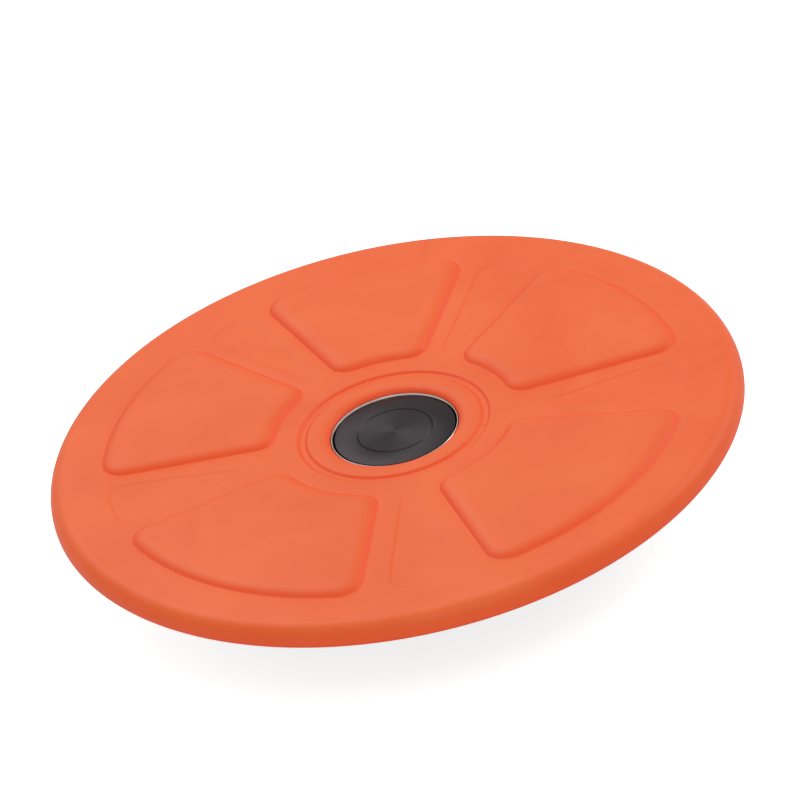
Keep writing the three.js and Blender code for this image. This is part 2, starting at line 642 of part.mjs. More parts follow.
function domeShell() {
  const floorReach = sphereReach(DOME_INNER_SPHERE, DOME_FLOOR_TOP);
  const rimReach = sphereReach(DOME_INNER_SPHERE, DOME_RIM);
  const seatEdge = STEM_FLANGE_RADIUS + 2 * GAP;
  const outline = [
    [STUD_RADIUS + GAP, recessTop],
    [recessRadius, recessTop],
    ...sphereArc(DOME_SPHERE, recessRadius, DOME_RADIUS, DOME_STEPS),
    ...sphereArc(DOME_INNER_SPHERE, rimReach, seatEdge, DOME_STEPS / 2),
    [seatEdge, STEM_SEAT],
    [SUPPORT_INNER, STEM_SEAT],
    ...sphereArc(DOME_INNER_SPHERE, SUPPORT_INNER, floorReach, DOME_STEPS / 2),
    [STUD_RADIUS + GAP, DOME_FLOOR_TOP],
  ];
  const holeBottom = STEM_SEAT - STEM_SCREW_GRIP - GAP;
  const holes = stemScrewSpots.map((spot) =>
    post(STEM_SCREW.shank + GAP, holeBottom, STEM_SEAT + OVERSHOOT, spot));
  return toGeometry(cut(toSolid(revolve(outline)), holes));
}
place("dome_shell", domeShell(), BLACK_PLASTIC);

// Rubber foot: a pad with a flat patch, moulded round the head of its stud.
const headBottom = (FOOT_THICKNESS - STUD_HEAD_THICKNESS) / 2;

function rubberFoot() {
  const edgeHeight = sphereHeight(DOME_SPHERE, FOOT_RADIUS);
  const outline = [
    [0, 0],
    [FOOT_PATCH_RADIUS, 0],
    [(FOOT_PATCH_RADIUS + FOOT_RADIUS) / 2, edgeHeight * FOOT_SHOULDER[0]],
    [FOOT_RADIUS, edgeHeight * FOOT_SHOULDER[1]],
    [FOOT_RADIUS, FOOT_THICKNESS],
    [STUD_RADIUS + GAP, FOOT_THICKNESS],
    [STUD_RADIUS + GAP, headBottom + STUD_HEAD_THICKNESS + GAP],
    [STUD_HEAD_RADIUS + GAP, headBottom + STUD_HEAD_THICKNESS + GAP],
    [STUD_HEAD_RADIUS + GAP, headBottom - GAP],
    [0, headBottom - GAP],
  ];
  return revolve(outline, HARDWARE_ROUND);
}
place("rubber_foot", rubberFoot(), RUBBER);

const washerBottom = DOME_FLOOR_TOP + GAP;
const nutBottom = washerBottom + WASHER_THICKNESS + GAP;

place("foot_stud", revolve([
  [0, headBottom],
  [STUD_HEAD_RADIUS, headBottom],
  [STUD_HEAD_RADIUS, headBottom + STUD_HEAD_THICKNESS],
  [STUD_RADIUS, headBottom + STUD_HEAD_THICKNESS],
  [STUD_RADIUS, nutBottom + NUT_HEIGHT + STUD_OVER_NUT],
  [0, nutBottom + NUT_HEIGHT + STUD_OVER_NUT],
], HARDWARE_ROUND), STEEL);

place("foot_washer", revolve([
  [STUD_RADIUS + GAP, washerBottom],
  [WASHER_RADIUS, washerBottom],
  [WASHER_RADIUS, washerBottom + WASHER_THICKNESS],
  [STUD_RADIUS + GAP, washerBottom + WASHER_THICKNESS],
], HARDWARE_ROUND), STEEL);

const nutTop = nutBottom + NUT_HEIGHT;
const nutBlank = toSolid(post(NUT_ACROSS_FLATS / Math.sqrt(3), nutBottom, nutTop, [0, 0], 6));
const nutHole = post(STUD_RADIUS + GAP, nutBottom - OVERSHOOT, nutTop + OVERSHOOT, [0, 0], HARDWARE_ROUND);
place("foot_nut", toGeometry(cut(nutBlank, [nutHole])), STEEL);

export default board;
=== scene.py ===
# Height-adjustable balance board: a round orange foam deck on a plywood core, with a dome foot that screws
# up and down in a steel sleeve at its centre. Shapes are worked out in millimetres and stored in metres.
import math

import bmesh
import bpy
import numpy as np
from mathutils import Matrix, Vector


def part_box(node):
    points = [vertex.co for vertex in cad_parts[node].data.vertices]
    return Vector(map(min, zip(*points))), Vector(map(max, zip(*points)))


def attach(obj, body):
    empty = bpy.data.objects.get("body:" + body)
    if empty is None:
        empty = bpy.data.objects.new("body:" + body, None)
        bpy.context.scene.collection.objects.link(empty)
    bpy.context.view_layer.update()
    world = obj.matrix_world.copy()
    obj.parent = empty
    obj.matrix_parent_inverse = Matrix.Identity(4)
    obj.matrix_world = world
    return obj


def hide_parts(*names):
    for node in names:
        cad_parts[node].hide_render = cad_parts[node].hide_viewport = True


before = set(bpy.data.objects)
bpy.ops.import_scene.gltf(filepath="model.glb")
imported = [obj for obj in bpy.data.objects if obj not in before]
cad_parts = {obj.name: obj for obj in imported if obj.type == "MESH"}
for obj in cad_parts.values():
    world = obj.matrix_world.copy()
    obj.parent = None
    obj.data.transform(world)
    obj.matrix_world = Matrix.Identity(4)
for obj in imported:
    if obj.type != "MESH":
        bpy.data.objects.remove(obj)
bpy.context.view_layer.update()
scene = bpy.context.scene

# Camera. A long lens well above the board, a little to the right of its own line, and leaning over.
AIM = Vector((0.0066, 0.0253, 0.075))
CAMERA_DISTANCE = 7.395
CAMERA_TURN = math.radians(0.49)
CAMERA_RISE = math.radians(32.18)
CAMERA_ROLL = math.radians(13.1)
CAMERA_LENS = 586.6  # millimetres
CAMERA_FAR = 50

camera = bpy.data.objects.new("camera", bpy.data.cameras.new("camera"))
camera.data.lens = CAMERA_LENS
camera.data.clip_end = CAMERA_FAR
facing = Matrix.Rotation(CAMERA_TURN, 4, "Z") @ Matrix.Rotation(math.pi / 2 - CAMERA_RISE, 4, "X")
camera.matrix_world = (
    Matrix.Translation(AIM)
    @ facing
    @ Matrix.Translation((0, 0, CAMERA_DISTANCE))
    @ Matrix.Rotation(-CAMERA_ROLL, 4, "Z")
)
scene.collection.objects.link(camera)
scene.camera = camera
scene.view_settings.view_transform = "Standard"


# Floor. A plain white acrylic light table, lit a little from below, so shadows under the board stay faint.
# Its back is clear, so a view from below sees the underside.
def linear(code):
    """An sRGB hex colour as the linear colour that shaders work in."""
    parts = [int(code[i : i + 2], 16) / 255 for i in (1, 3, 5)]
    return [c / 12.92 if c <= 0.04045 else ((c + 0.055) / 1.055) ** 2.4 for c in parts] + [1]


def add(owner, kind, settings=None, inputs=None):
    """Adds a node to a material or a tree. An input is a plain value, or the output that feeds it."""
    tree = getattr(owner, "node_tree", owner)
    made = tree.nodes.new(kind)
    for name, value in (settings or {}).items():
        setattr(made, name, value)
    for name, value in (inputs or {}).items():
        if isinstance(value, bpy.types.NodeSocket):
            tree.links.new(value, made.inputs[name])
        else:
            made.inputs[name].default_value = value
    return made


def new_material(name):
    """An empty node material and the coordinates of the object that wears it, in metres."""
    material = bpy.data.materials.new(name)
    material.use_nodes = True
    material.node_tree.nodes.clear()
    return material, add(material, "ShaderNodeTexCoord").outputs["Object"]


def finish_material(material, shader):
    add(material, "ShaderNodeOutputMaterial", inputs={"Surface": shader.outputs[0]})
    return material


def mesh_object(name, points, faces, material, smooth=True):
    """A mesh from points in millimetres, linked at the origin."""
    mesh = bpy.data.meshes.new(name)
    mesh.from_pydata(np.asarray(points, float) / 1000, [], faces)
    mesh.materials.append(material)
    mesh.polygons.foreach_set("use_smooth", [smooth] * len(mesh.polygons))
    mesh.update()
    made = bpy.data.objects.new(name, mesh)
    scene.collection.objects.link(made)
    return made


FLOOR_SIZE = 14000
FLOOR_GLOW = 0.75  # light that comes up through it, seen but too weak to light the board
FLOOR_DROP = 0.1  # below the foot, so the two never fight for the same plane

floor_paint, floor_place = new_material("white_acrylic_light_table")
floor_cloud = add(
    floor_paint, "ShaderNodeTexNoise", inputs={"Vector": floor_place, "Scale": 0.8, "Detail": 2}
)
floor_tone = add(
    floor_paint,
    "ShaderNodeMix",
    {"data_type": "RGBA"},
    {0: floor_cloud.outputs["Fac"], 6: linear("#f6f6f6"), 7: linear("#f9f9f9")},
)
floor_ray = add(floor_paint, "ShaderNodeLightPath")
floor_glow = add(
    floor_paint,
    "ShaderNodeMath",
    {"operation": "MULTIPLY"},
    {0: floor_ray.outputs["Is Camera Ray"], 1: FLOOR_GLOW},
)
floor_acrylic = add(
    floor_paint,
    "ShaderNodeBsdfPrincipled",
    inputs={
        "Base Color": floor_tone.outputs[2],
        "Roughness": 0.9,
        "Specular IOR Level": 0.1,
        "Emission Color": linear("#ffffff"),
        "Emission Strength": floor_glow.outputs[0],
    },
)
floor_clear = add(floor_paint, "ShaderNodeBsdfTransparent")
floor_side = add(floor_paint, "ShaderNodeNewGeometry")
finish_material(
    floor_paint,
    add(
        floor_paint,
        "ShaderNodeMixShader",
        inputs={0: floor_side.outputs["Backfacing"], 1: floor_acrylic.outputs[0], 2: floor_clear.outputs[0]},
    ),
)
half = FLOOR_SIZE / 2
corners = [(-half, -half), (half, -half), (half, half), (-half, half)]
floor = mesh_object(
    "studio_floor",
    [(x, y, -FLOOR_DROP) for x, y in corners],
    [(0, 1, 2, 3)],
    floor_paint,
)

# Light. A white room, one broad soft box above and behind, a weaker one to the right, and a fill in front
# that keeps the near walls of the relief as red as its flats.
WORLD_STRENGTH = 0.62

world = bpy.data.worlds.new("white_room")
scene.world = world
world.use_nodes = True
world.node_tree.nodes.clear()
world_ray = add(world, "ShaderNodeLightPath")
world_level = add(
    world,
    "ShaderNodeMapRange",
    inputs={"Value": world_ray.outputs["Is Camera Ray"], "To Min": WORLD_STRENGTH, "To Max": 1},
)
white_wall = add(
    world, "ShaderNodeBackground", inputs={"Color": linear("#ffffff"), "Strength": world_level.outputs[0]}
)
add(world, "ShaderNodeOutputWorld", inputs={"Surface": white_wall.outputs[0]})


def soft_box(name, place, size, power):
    """A square area light aimed at the board's middle."""
    lamp = bpy.data.lights.new(name, "AREA")
    lamp.size = size
    lamp.energy = power
    made = bpy.data.objects.new(name, lamp)
    aim = (Vector(place) - AIM).to_track_quat("Z", "Y")
    made.matrix_world = Matrix.Translation(place) @ aim.to_matrix().to_4x4()
    scene.collection.objects.link(made)


soft_box("soft_box_behind", (-0.7, 1.7, 2.3), 1.6, 24)
soft_box("soft_box_right", (1.8, 0.9, 1.5), 1.0, 13)
soft_box("soft_box_front", (0.2, -1.7, 2.4), 1.2, 11)

# Foam deck. Orange integral-skin polyurethane foam, moulded round the plywood core: five raised pads, five
# shallow paddles between them, and a rolled collar with a ring groove round the centre hole.
DECK_RADIUS = 200
DECK_TOP = 75
RIM_BOTTOM = 62
RIM_TOP_FILLET = 9
RIM_BOTTOM_FILLET = 3
# Each pad: its middle and its width in degrees, anticlockwise from +Y
PADS = [(0, 42), (62, 47), (137, 60), (-137, 60), (-62, 47)]
PAD_INNER = 68.5
PAD_OUTER = 169
PAD_INNER_CORNER = 11
PAD_OUTER_CORNER = 15
PAD_HEIGHT = 3
PAD_WALL = 9
GUTTER_DEPTH = 0.25  # the foam sinks a little at the foot of each pad
GUTTER_WIDTH = 1.6
# Each paddle: its angle, and its half-width at a row of radii
PADDLES = [
    (30, [(70, 2), (86, 5), (130, 11), (146, 13.5), (170, 16)]),
    (-30, [(70, 2), (86, 5), (130, 11), (146, 13.5), (170, 16)]),
    (96.5, [(84, 0), (90, 2.5), (112, 9), (123, 13), (145, 19), (170, 24)]),
    (-96.5, [(84, 0), (90, 2.5), (112, 9), (123, 13), (145, 19), (170, 24)]),
    (180, [(70, 3.5), (90, 8.5), (110, 12), (140, 18.5), (170, 23)]),
]
PADDLE_OUTER = 167
PADDLE_CORNER = 13
PADDLE_DEPTH = 0.5
PADDLE_WALL = 1.9
HOLE_RADIUS = 37.1
HOLE_BOTTOM = 70.4
COLLAR_DROP = 3
COLLAR_REACH = 7.5
COLLAR_CROWN = 0.35
GROOVE_INNER = 49.6
GROOVE_OUTER = 56.2
GROOVE_DEPTH = 1.3
GROOVE_WALL = 2.2
BRIDGES = [10, 130, 250]
BRIDGE_WIDTH = 0.8
BRIDGE_SHARE = 0.3  # of the groove's depth
CORE_POCKET_RADIUS = 184.3
CORE_POCKET_TOP = 70.4
FINE_STEP = 0.22  # degrees between mesh lines across a paddle, and elsewhere
COARSE_STEP = 0.6


def ease(t):
    """Rises from 0 to 1 with a soft start and a soft end."""
    t = np.clip(t, 0, 1)
    return t * t * (3 - 2 * t)


def round_corner(a, b, radius):
    """Distance inside two edges whose corner is rounded."""
    inside = radius - np.hypot(np.maximum(radius - a, 0), np.maximum(radius - b, 0))
    return np.where((a < radius) & (b < radius), inside, np.minimum(a, b))


def turned_from(angle, middle):
    """An angle measured from a pad's or a paddle's middle, between -180 and 180 degrees."""
    return (angle - middle + 180) % 360 - 180


def deck_relief(radius, angle):
    """Height of the deck's top at a radius, and an angle anticlockwise from +Y in degrees."""
    height = np.zeros(np.broadcast(radius, angle).shape)
    for middle, width in PADS:
        off = np.radians(width / 2 - np.abs(turned_from(angle, middle)))
        side = np.where(off > -np.pi / 2, radius * np.sin(np.clip(off, -np.pi / 2, np.pi / 2)), -radius)
        inside = np.minimum(
            round_corner(side, PAD_OUTER - radius, PAD_OUTER_CORNER),
            round_corner(side, radius - PAD_INNER, PAD_INNER_CORNER),
        )
        rise = np.clip(inside / PAD_WALL, 0, 1)
        height += PAD_HEIGHT * (1 - (1 - rise) ** 2.2)
        height -= GUTTER_DEPTH * np.exp(-(((inside + GUTTER_WIDTH / 2) / GUTTER_WIDTH) ** 2))
    for middle, widths in PADDLES:
        off = np.radians(turned_from(angle, middle))
        along = radius * np.cos(off)
        across = np.abs(radius * np.sin(off))
        half_width = np.interp(along, *zip(*widths))
        inside = round_corner(half_width - across, PADDLE_OUTER - along, PADDLE_CORNER)
        fade = ease((along - widths[0][0]) / 14)
        height -= PADDLE_DEPTH * fade * ease(inside / PADDLE_WALL)
    groove = np.minimum(radius - GROOVE_INNER, GROOVE_OUTER - radius)
    bridge = np.zeros_like(height)
    for middle in BRIDGES:
        across = radius * np.radians(np.abs(turned_from(angle, middle)))
        bridge = np.maximum(bridge, 1 - ease((across - BRIDGE_WIDTH / 2) / BRIDGE_WIDTH))
    height -= GROOVE_DEPTH * ease(groove / GROOVE_WALL) * (1 - BRIDGE_SHARE * bridge)
    crown = 1 - ((radius - (GROOVE_INNER + HOLE_RADIUS) / 2) / ((GROOVE_INNER - HOLE_RADIUS) / 2)) ** 2
    height += COLLAR_CROWN * np.maximum(crown, 0)
    waves = np.sin(radius / 23 + np.radians(angle) * 3) + np.sin(radius / 31 - np.radians(angle) * 5 + 1)
    return DECK_TOP + height + 0.05 * waves * ease((radius - 60) / 20) * ease((190 - radius) / 20)


def quarter(centre, reach, rise, start, steps):
    """Points of a quarter of an ellipse in the radius-height plane."""
    turns = np.radians(start + np.linspace(0, 90, steps + 1))
    return [(centre[0] + reach * math.cos(t), centre[1] + rise * math.sin(t)) for t in turns]


angles = [0.0]
while angles[-1] < 360:
    from_paddle = min(abs(turned_from(angles[-1], middle)) for middle, _ in PADDLES)
    angles.append(angles[-1] + (FINE_STEP if from_paddle < 15 else COARSE_STEP))
angles = np.array(angles[:-1])
top_radii = np.concatenate(
    [
        np.linspace(DECK_RADIUS - RIM_TOP_FILLET, 176, 10)[1:],
        np.linspace(176, 156, 22)[1:],
        np.linspace(156, 80, 62)[1:],
        np.linspace(80, HOLE_RADIUS + COLLAR_REACH, 64)[1:-1],
    ]
)
under = [(HOLE_RADIUS, HOLE_BOTTOM), (60, CORE_POCKET_TOP), (120, CORE_POCKET_TOP)]
under += [(CORE_POCKET_RADIUS - 1, CORE_POCKET_TOP), (CORE_POCKET_RADIUS, CORE_POCKET_TOP - 1)]
under += [(CORE_POCKET_RADIUS, RIM_BOTTOM + 0.8), (CORE_POCKET_RADIUS + 0.8, RIM_BOTTOM)]
low_middle = (DECK_RADIUS - RIM_BOTTOM_FILLET, RIM_BOTTOM + RIM_BOTTOM_FILLET)
high_middle = (DECK_RADIUS - RIM_TOP_FILLET, DECK_TOP - RIM_TOP_FILLET)
rim_low = quarter(low_middle, RIM_BOTTOM_FILLET, RIM_BOTTOM_FILLET, -90, 6)
rim_high = quarter(high_middle, RIM_TOP_FILLET, RIM_TOP_FILLET, 0, 12)
roll = quarter((HOLE_RADIUS + COLLAR_REACH, DECK_TOP - COLLAR_DROP), COLLAR_REACH, COLLAR_DROP, 90, 14)
rows = [(r, np.full(len(angles), z)) for r, z in under + rim_low + rim_high]
rows += [(r, deck_relief(r, angles)) for r in top_radii]
rows += [(r, np.full(len(angles), z) + deck_relief(r, angles) - DECK_TOP) for r, z in roll]


def ring_grid(rows, angles, closed):
    """Points and quads of rings round Z. Each row is a radius and a height. Closed joins the last row to the
    first."""
    turns = np.radians(angles)
    around = len(angles)
    points = np.concatenate(
        [
            np.column_stack([-r * np.sin(turns), r * np.cos(turns), np.broadcast_to(z, around)])
            for r, z in rows
        ]
    )
    count = len(rows) if closed else len(rows) - 1
    first, second = np.meshgrid(np.arange(count), np.arange(around), indexing="ij")
    nxt_row = (first + 1) % len(rows)
    nxt = (second + 1) % around
    here, above = first * around, nxt_row * around
    quads = np.stack([here + second, here + nxt, above + nxt, above + second], axis=-1)
    return points, quads.reshape(-1, 4).tolist()


# Moulded polyurethane skin: a matt orange with faint clouds where the skin is thicker, a fine pebble from the
# mould and a few burst bubbles. Steep walls get a deeper, redder orange as painted shade, and the mesh
# carries
# how much shade is painted at each point: full on a steep wall, and growing down the rim towards its bottom.
STEEP = 0.2  # 1 less the upward part of a normal that counts as steep
RIM_FADE = 13

foam, foam_place = new_material("moulded_polyurethane_foam_skin")
cloud = add(
    foam,
    "ShaderNodeTexNoise",
    inputs={"Vector": foam_place, "Scale": 14, "Detail": 4, "Roughness": 0.55, "Distortion": 0.6},
)
cloud_range = add(
    foam, "ShaderNodeMapRange", inputs={"Value": cloud.outputs["Fac"], "From Min": 0.35, "From Max": 0.65}
)
foam_tone = add(
    foam,
    "ShaderNodeMix",
    {"data_type": "RGBA"},
    {0: cloud_range.outputs[0], 6: linear("#e65a1a"), 7: linear("#eb6222")},
)
# Painted shade: a deeper, redder orange mixed in on steep walls and lower down the rim, by the mesh's share.
painted_wall_shade = add(foam, "ShaderNodeAttribute", {"attribute_name": "painted_wall_shade"})
foam_tone_with_painted_shade = add(
    foam,
    "ShaderNodeMix",
    {"data_type": "RGBA"},
    {0: painted_wall_shade.outputs["Fac"], 6: foam_tone.outputs[2], 7: linear("#ef4c08")},
)
bubble_spots = add(
    foam,
    "ShaderNodeTexVoronoi",
    {"feature": "F1"},
    {"Vector": foam_place, "Scale": 38, "Randomness": 1},
)
bubble_size = add(
    foam, "ShaderNodeSeparateColor", inputs={"Color": bubble_spots.outputs["Color"]}
)
bubble_pick = add(
    foam, "ShaderNodeMath", {"operation": "GREATER_THAN"}, {0: bubble_size.outputs[0], 1: 0.93}
)
bubble_edge = add(
    foam,
    "ShaderNodeMapRange",
    {"interpolation_type": "SMOOTHSTEP"},
    {
        "Value": bubble_spots.outputs["Distance"],
        "From Min": 0.02,
        "From Max": 0.055,
        "To Min": 1,
        "To Max": 0,
    },
)
bubble = add(
    foam, "ShaderNodeMath", {"operation": "MULTIPLY"}, {0: bubble_pick.outputs[0], 1: bubble_edge.outputs[0]}
)
# The bubbles' pits are painted a darker orange: painted shade inside each pit, on the mask that also sinks
# them.
foam_colour = add(
    foam,
    "ShaderNodeMix",
    {"data_type": "RGBA"},
    {0: bubble.outputs[0], 6: foam_tone_with_painted_shade.outputs[2], 7: linear("#c24a1f")},
)
pebble = add(foam, "ShaderNodeTexNoise", inputs={"Vector": foam_place, "Scale": 900, "Detail": 2})
pebble_bump = add(
    foam, "ShaderNodeBump", inputs={"Strength": 0.12, "Distance": 0.0002, "Height": pebble.outputs["Fac"]}
)
bubble_bump = add(
    foam,
    "ShaderNodeBump",
    {"invert": True},
    {"Strength": 0.5, "Distance": 0.0004, "Height": bubble.outputs[0], "Normal": pebble_bump.outputs[0]},
)
foam_rough = add(
    foam, "ShaderNodeMapRange", inputs={"Value": cloud.outputs["Fac"], "To Min": 0.56, "To Max": 0.48}
)
finish_material(
    foam,
    add(
        foam,
        "ShaderNodeBsdfPrincipled",
        inputs={
            "Base Color": foam_colour.outputs[2],
            "Roughness": foam_rough.outputs[0],
            "Normal": bubble_bump.outputs[0],
            "IOR": 1.5,
            "Specular IOR Level": 0.45,
        },
    ),
)
deck = mesh_object("foam_deck", *ring_grid(rows, angles, True), foam)
normals = np.empty(len(deck.data.vertices) * 3, np.float32)
deck.data.vertex_normals.foreach_get("vector", normals)
heights = np.concatenate([np.broadcast_to(z, len(angles)) for _, z in rows])
radii = np.concatenate([np.broadcast_to(r, len(angles)) for r, _ in rows])
# Share of painted shade at each point: from how steep the surface is, and on the rim from how far down it is.
depth = ease((1 - np.abs(normals[2::3])) / STEEP)
depth *= np.where(radii > DECK_RADIUS - RIM_TOP_FILLET, np.clip((DECK_TOP - heights) / RIM_FADE, 0, 1), 1)
deck.data.attributes.new("painted_wall_shade", "FLOAT", "POINT").data.foreach_set("value", depth)
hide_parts("deck_cushion")
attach(deck, "deck")

# Core plate. Eight-millimetre birch plywood, turned to a disc. Foam covers its top and edge, and the cover
# most of its face, so only a narrow ring of it shows from below.
def measures(node):
    """Outer radius, bottom and top of a round CAD node, in millimetres."""
    low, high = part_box(node)
    return high.x * 1000, low.z * 1000, high.z * 1000


def wear(material, *names):
    """Gives CAD nodes a material in place of their own."""
    for name in names:
        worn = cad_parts[name].data.materials
        worn.clear()
        worn.append(material)


# Birch plywood: pale veneer with long grain on its faces, and thin dark glue lines between plies at the edge.
PLY = 1.35

plywood, plywood_place = new_material("birch_plywood")
grain_place = add(
    plywood, "ShaderNodeMapping", inputs={"Vector": plywood_place, "Scale": (1, 0.06, 1)}
)
grain = add(
    plywood, "ShaderNodeTexNoise", inputs={"Vector": grain_place.outputs[0], "Scale": 260, "Detail": 5}
)
ply_height = add(plywood, "ShaderNodeSeparateXYZ", inputs={"Vector": plywood_place})
ply_phase = add(
    plywood, "ShaderNodeMath", {"operation": "PINGPONG"}, {0: ply_height.outputs[2], 1: PLY / 1000}
)
glue = add(
    plywood,
    "ShaderNodeMapRange",
    inputs={"Value": ply_phase.outputs[0], "From Min": 0, "From Max": 0.0003, "To Min": 0.75, "To Max": 0},
)
veneer = add(
    plywood,
    "ShaderNodeMix",
    {"data_type": "RGBA"},
    {0: grain.outputs["Fac"], 6: linear("#e2c697"), 7: linear("#bf9560")},
)
ply_tone = add(
    plywood,
    "ShaderNodeMix",
    {"data_type": "RGBA"},
    {0: glue.outputs[0], 6: veneer.outputs[2], 7: linear("#6f4a2b")},
)
ply_bump = add(
    plywood, "ShaderNodeBump", inputs={"Strength": 0.25, "Distance": 0.0002, "Height": grain.outputs["Fac"]}
)
finish_material(
    plywood,
    add(
        plywood,
        "ShaderNodeBsdfPrincipled",
        inputs={"Base Color": ply_tone.outputs[2], "Roughness": 0.62, "Normal": ply_bump.outputs[0]},
    ),
)
wear(plywood, "core_plate")

# Core inserts. Six knurled brass nuts pressed into the plywood, which take the sleeve's screws.
KNURL = 0.8

brass, brass_place = new_material("machined_brass")
knurl = add(
    brass,
    "ShaderNodeTexWave",
    {"wave_type": "BANDS", "bands_direction": "DIAGONAL"},
    {"Vector": brass_place, "Scale": 314 / KNURL, "Distortion": 0.4},
)
brass_tone = add(
    brass,
    "ShaderNodeMix",
    {"data_type": "RGBA"},
    {0: knurl.outputs["Fac"], 6: linear("#d1ab55"), 7: linear("#a9853a")},
)
brass_bump = add(
    brass, "ShaderNodeBump", inputs={"Strength": 0.4, "Distance": 0.0002, "Height": knurl.outputs["Fac"]}
)
finish_material(
    brass,
    add(
        brass,
        "ShaderNodeBsdfPrincipled",
        inputs={
            "Base Color": brass_tone.outputs[2],
            "Metallic": 1,
            "Roughness": 0.32,
            "Normal": brass_bump.outputs[0],
        },
    ),
)
wear(brass, *[f"core_insert_{number}" for number in range(1, 7)])

# Underside cover. A moulded black ABS plate screwed up under the core, with a lip at each edge, two raised
# rings and twenty-four ribs between them that stiffen it.
COVER_EDGE = 0.8
COVER_RINGS = [74, 150]
COVER_RING_WIDTH = 3
COVER_RING_RISE = 1.4
COVER_RIBS = 24
COVER_RIB_WIDTH = 2.2
SHARP_ANGLE = math.radians(32)
WELD_DISTANCE = 1e-6  # metres


def weld(made):
    """Merges the doubled points of a piece, as at the axis, and turns every face outward."""
    shell = bmesh.new()
    shell.from_mesh(made.data)
    bmesh.ops.remove_doubles(shell, verts=shell.verts, dist=WELD_DISTANCE)
    bmesh.ops.dissolve_degenerate(shell, edges=shell.edges, dist=WELD_DISTANCE / 10)
    bmesh.ops.recalc_face_normals(shell, faces=shell.faces)
    shell.to_mesh(made.data)
    shell.free()
    return made


def turned(name, outline, material, segments=128):
    """A piece turned on Z from a closed outline of radius and height."""
    around = np.arange(segments) * 360 / segments
    made = weld(mesh_object(name, *ring_grid(outline, around, True), material))
    made.data.set_sharp_from_angle(angle=SHARP_ANGLE)
    return made


def copies_round_axis():
    """A tree that sets copies of a pattern evenly round Z, from a first angle."""
    tree = bpy.data.node_groups.new("copies_round_axis", "GeometryNodeTree")
    tree.interface.new_socket("Geometry", in_out="INPUT", socket_type="NodeSocketGeometry")
    tree.interface.new_socket("Pattern", in_out="INPUT", socket_type="NodeSocketObject")
    tree.interface.new_socket("Copies", in_out="INPUT", socket_type="NodeSocketInt")
    tree.interface.new_socket("First Angle", in_out="INPUT", socket_type="NodeSocketFloat")
    tree.interface.new_socket("Finish", in_out="INPUT", socket_type="NodeSocketMaterial")
    tree.interface.new_socket("Geometry", in_out="OUTPUT", socket_type="NodeSocketGeometry")
    given = add(tree, "NodeGroupInput").outputs
    pattern = add(tree, "GeometryNodeObjectInfo", inputs={"Object": given["Pattern"]})
    spots = add(tree, "GeometryNodeMeshLine", inputs={"Count": given["Copies"], "Offset": (0, 0, 0)})
    placed = add(
        tree,
        "GeometryNodeInstanceOnPoints",
        inputs={"Points": spots.outputs["Mesh"], "Instance": pattern.outputs["Geometry"]},
    )
    step = add(tree, "ShaderNodeMath", {"operation": "DIVIDE"}, {0: math.tau, 1: given["Copies"]})
    number = add(tree, "GeometryNodeInputIndex")
    angle = add(
        tree,
        "ShaderNodeMath",
        {"operation": "MULTIPLY_ADD"},
        {0: number.outputs[0], 1: step.outputs[0], 2: given["First Angle"]},
    )
    turn = add(tree, "ShaderNodeCombineXYZ", inputs={"Z": angle.outputs[0]})
    turned_copies = add(
        tree,
        "GeometryNodeRotateInstances",
        inputs={"Instances": placed.outputs[0], "Rotation": turn.outputs[0], "Local Space": False},
    )
    real = add(tree, "GeometryNodeRealizeInstances", inputs={0: turned_copies.outputs[0]})
    finished = add(
        tree, "GeometryNodeSetMaterial", inputs={"Geometry": real.outputs[0], "Material": given["Finish"]}
    )
    add(tree, "NodeGroupOutput", inputs={0: finished.outputs[0]})
    return tree


def grown(name, start, tree, values):
    """The mesh that a tree makes from a starting object, as a plain piece. The start is removed."""
    growing = start.modifiers.new(tree.name, "NODES")
    growing.node_group = tree
    for socket in tree.interface.items_tree:
        if socket.name in values:
            growing[socket.identifier] = values[socket.name]
    bpy.context.view_layer.update()
    depsgraph = bpy.context.evaluated_depsgraph_get()
    mesh = bpy.data.meshes.new_from_object(start.evaluated_get(depsgraph))
    bpy.data.objects.remove(start)
    made = bpy.data.objects.new(name, mesh)
    mesh.name = name
    mesh.set_sharp_from_angle(angle=SHARP_ANGLE)
    scene.collection.objects.link(made)
    return made


round_axis = copies_round_axis()


def copies_round(name, pattern, copies, first, material):
    """Copies of a pattern round Z as one piece. The pattern is removed."""
    start = mesh_object(name, [(0, 0, 0)], [], material)
    values = {"Pattern": pattern, "Copies": copies, "First Angle": math.radians(first), "Finish": material}
    made = grown(name, start, round_axis, values)
    bpy.data.objects.remove(pattern)
    return made


def block(name, width, inner, outer, bottom, top, material, edge=0.4):
    """A bar along +Y with bevelled edges, between two radii and two heights."""
    made = mesh_object(name, [(0, 0, 0)], [], material)
    shell = bmesh.new()
    bmesh.ops.create_cube(shell, size=1)
    size = Vector((width, outer - inner, top - bottom)) / 1000
    middle = Vector((0, (inner + outer) / 2, (bottom + top) / 2)) / 1000
    bmesh.ops.transform(shell, matrix=Matrix.Diagonal((*size, 1)), verts=shell.verts)
    bmesh.ops.bevel(shell, geom=shell.edges, offset=edge / 1000, segments=2, affect="EDGES", profile=0.5)
    bmesh.ops.translate(shell, vec=middle, verts=shell.verts)
    shell.to_mesh(made.data)
    shell.free()
    return made


# Textured ABS: near-black, with the fine leather grain of a spark-eroded mould and a soft satin gloss.
GRAIN = 1.1

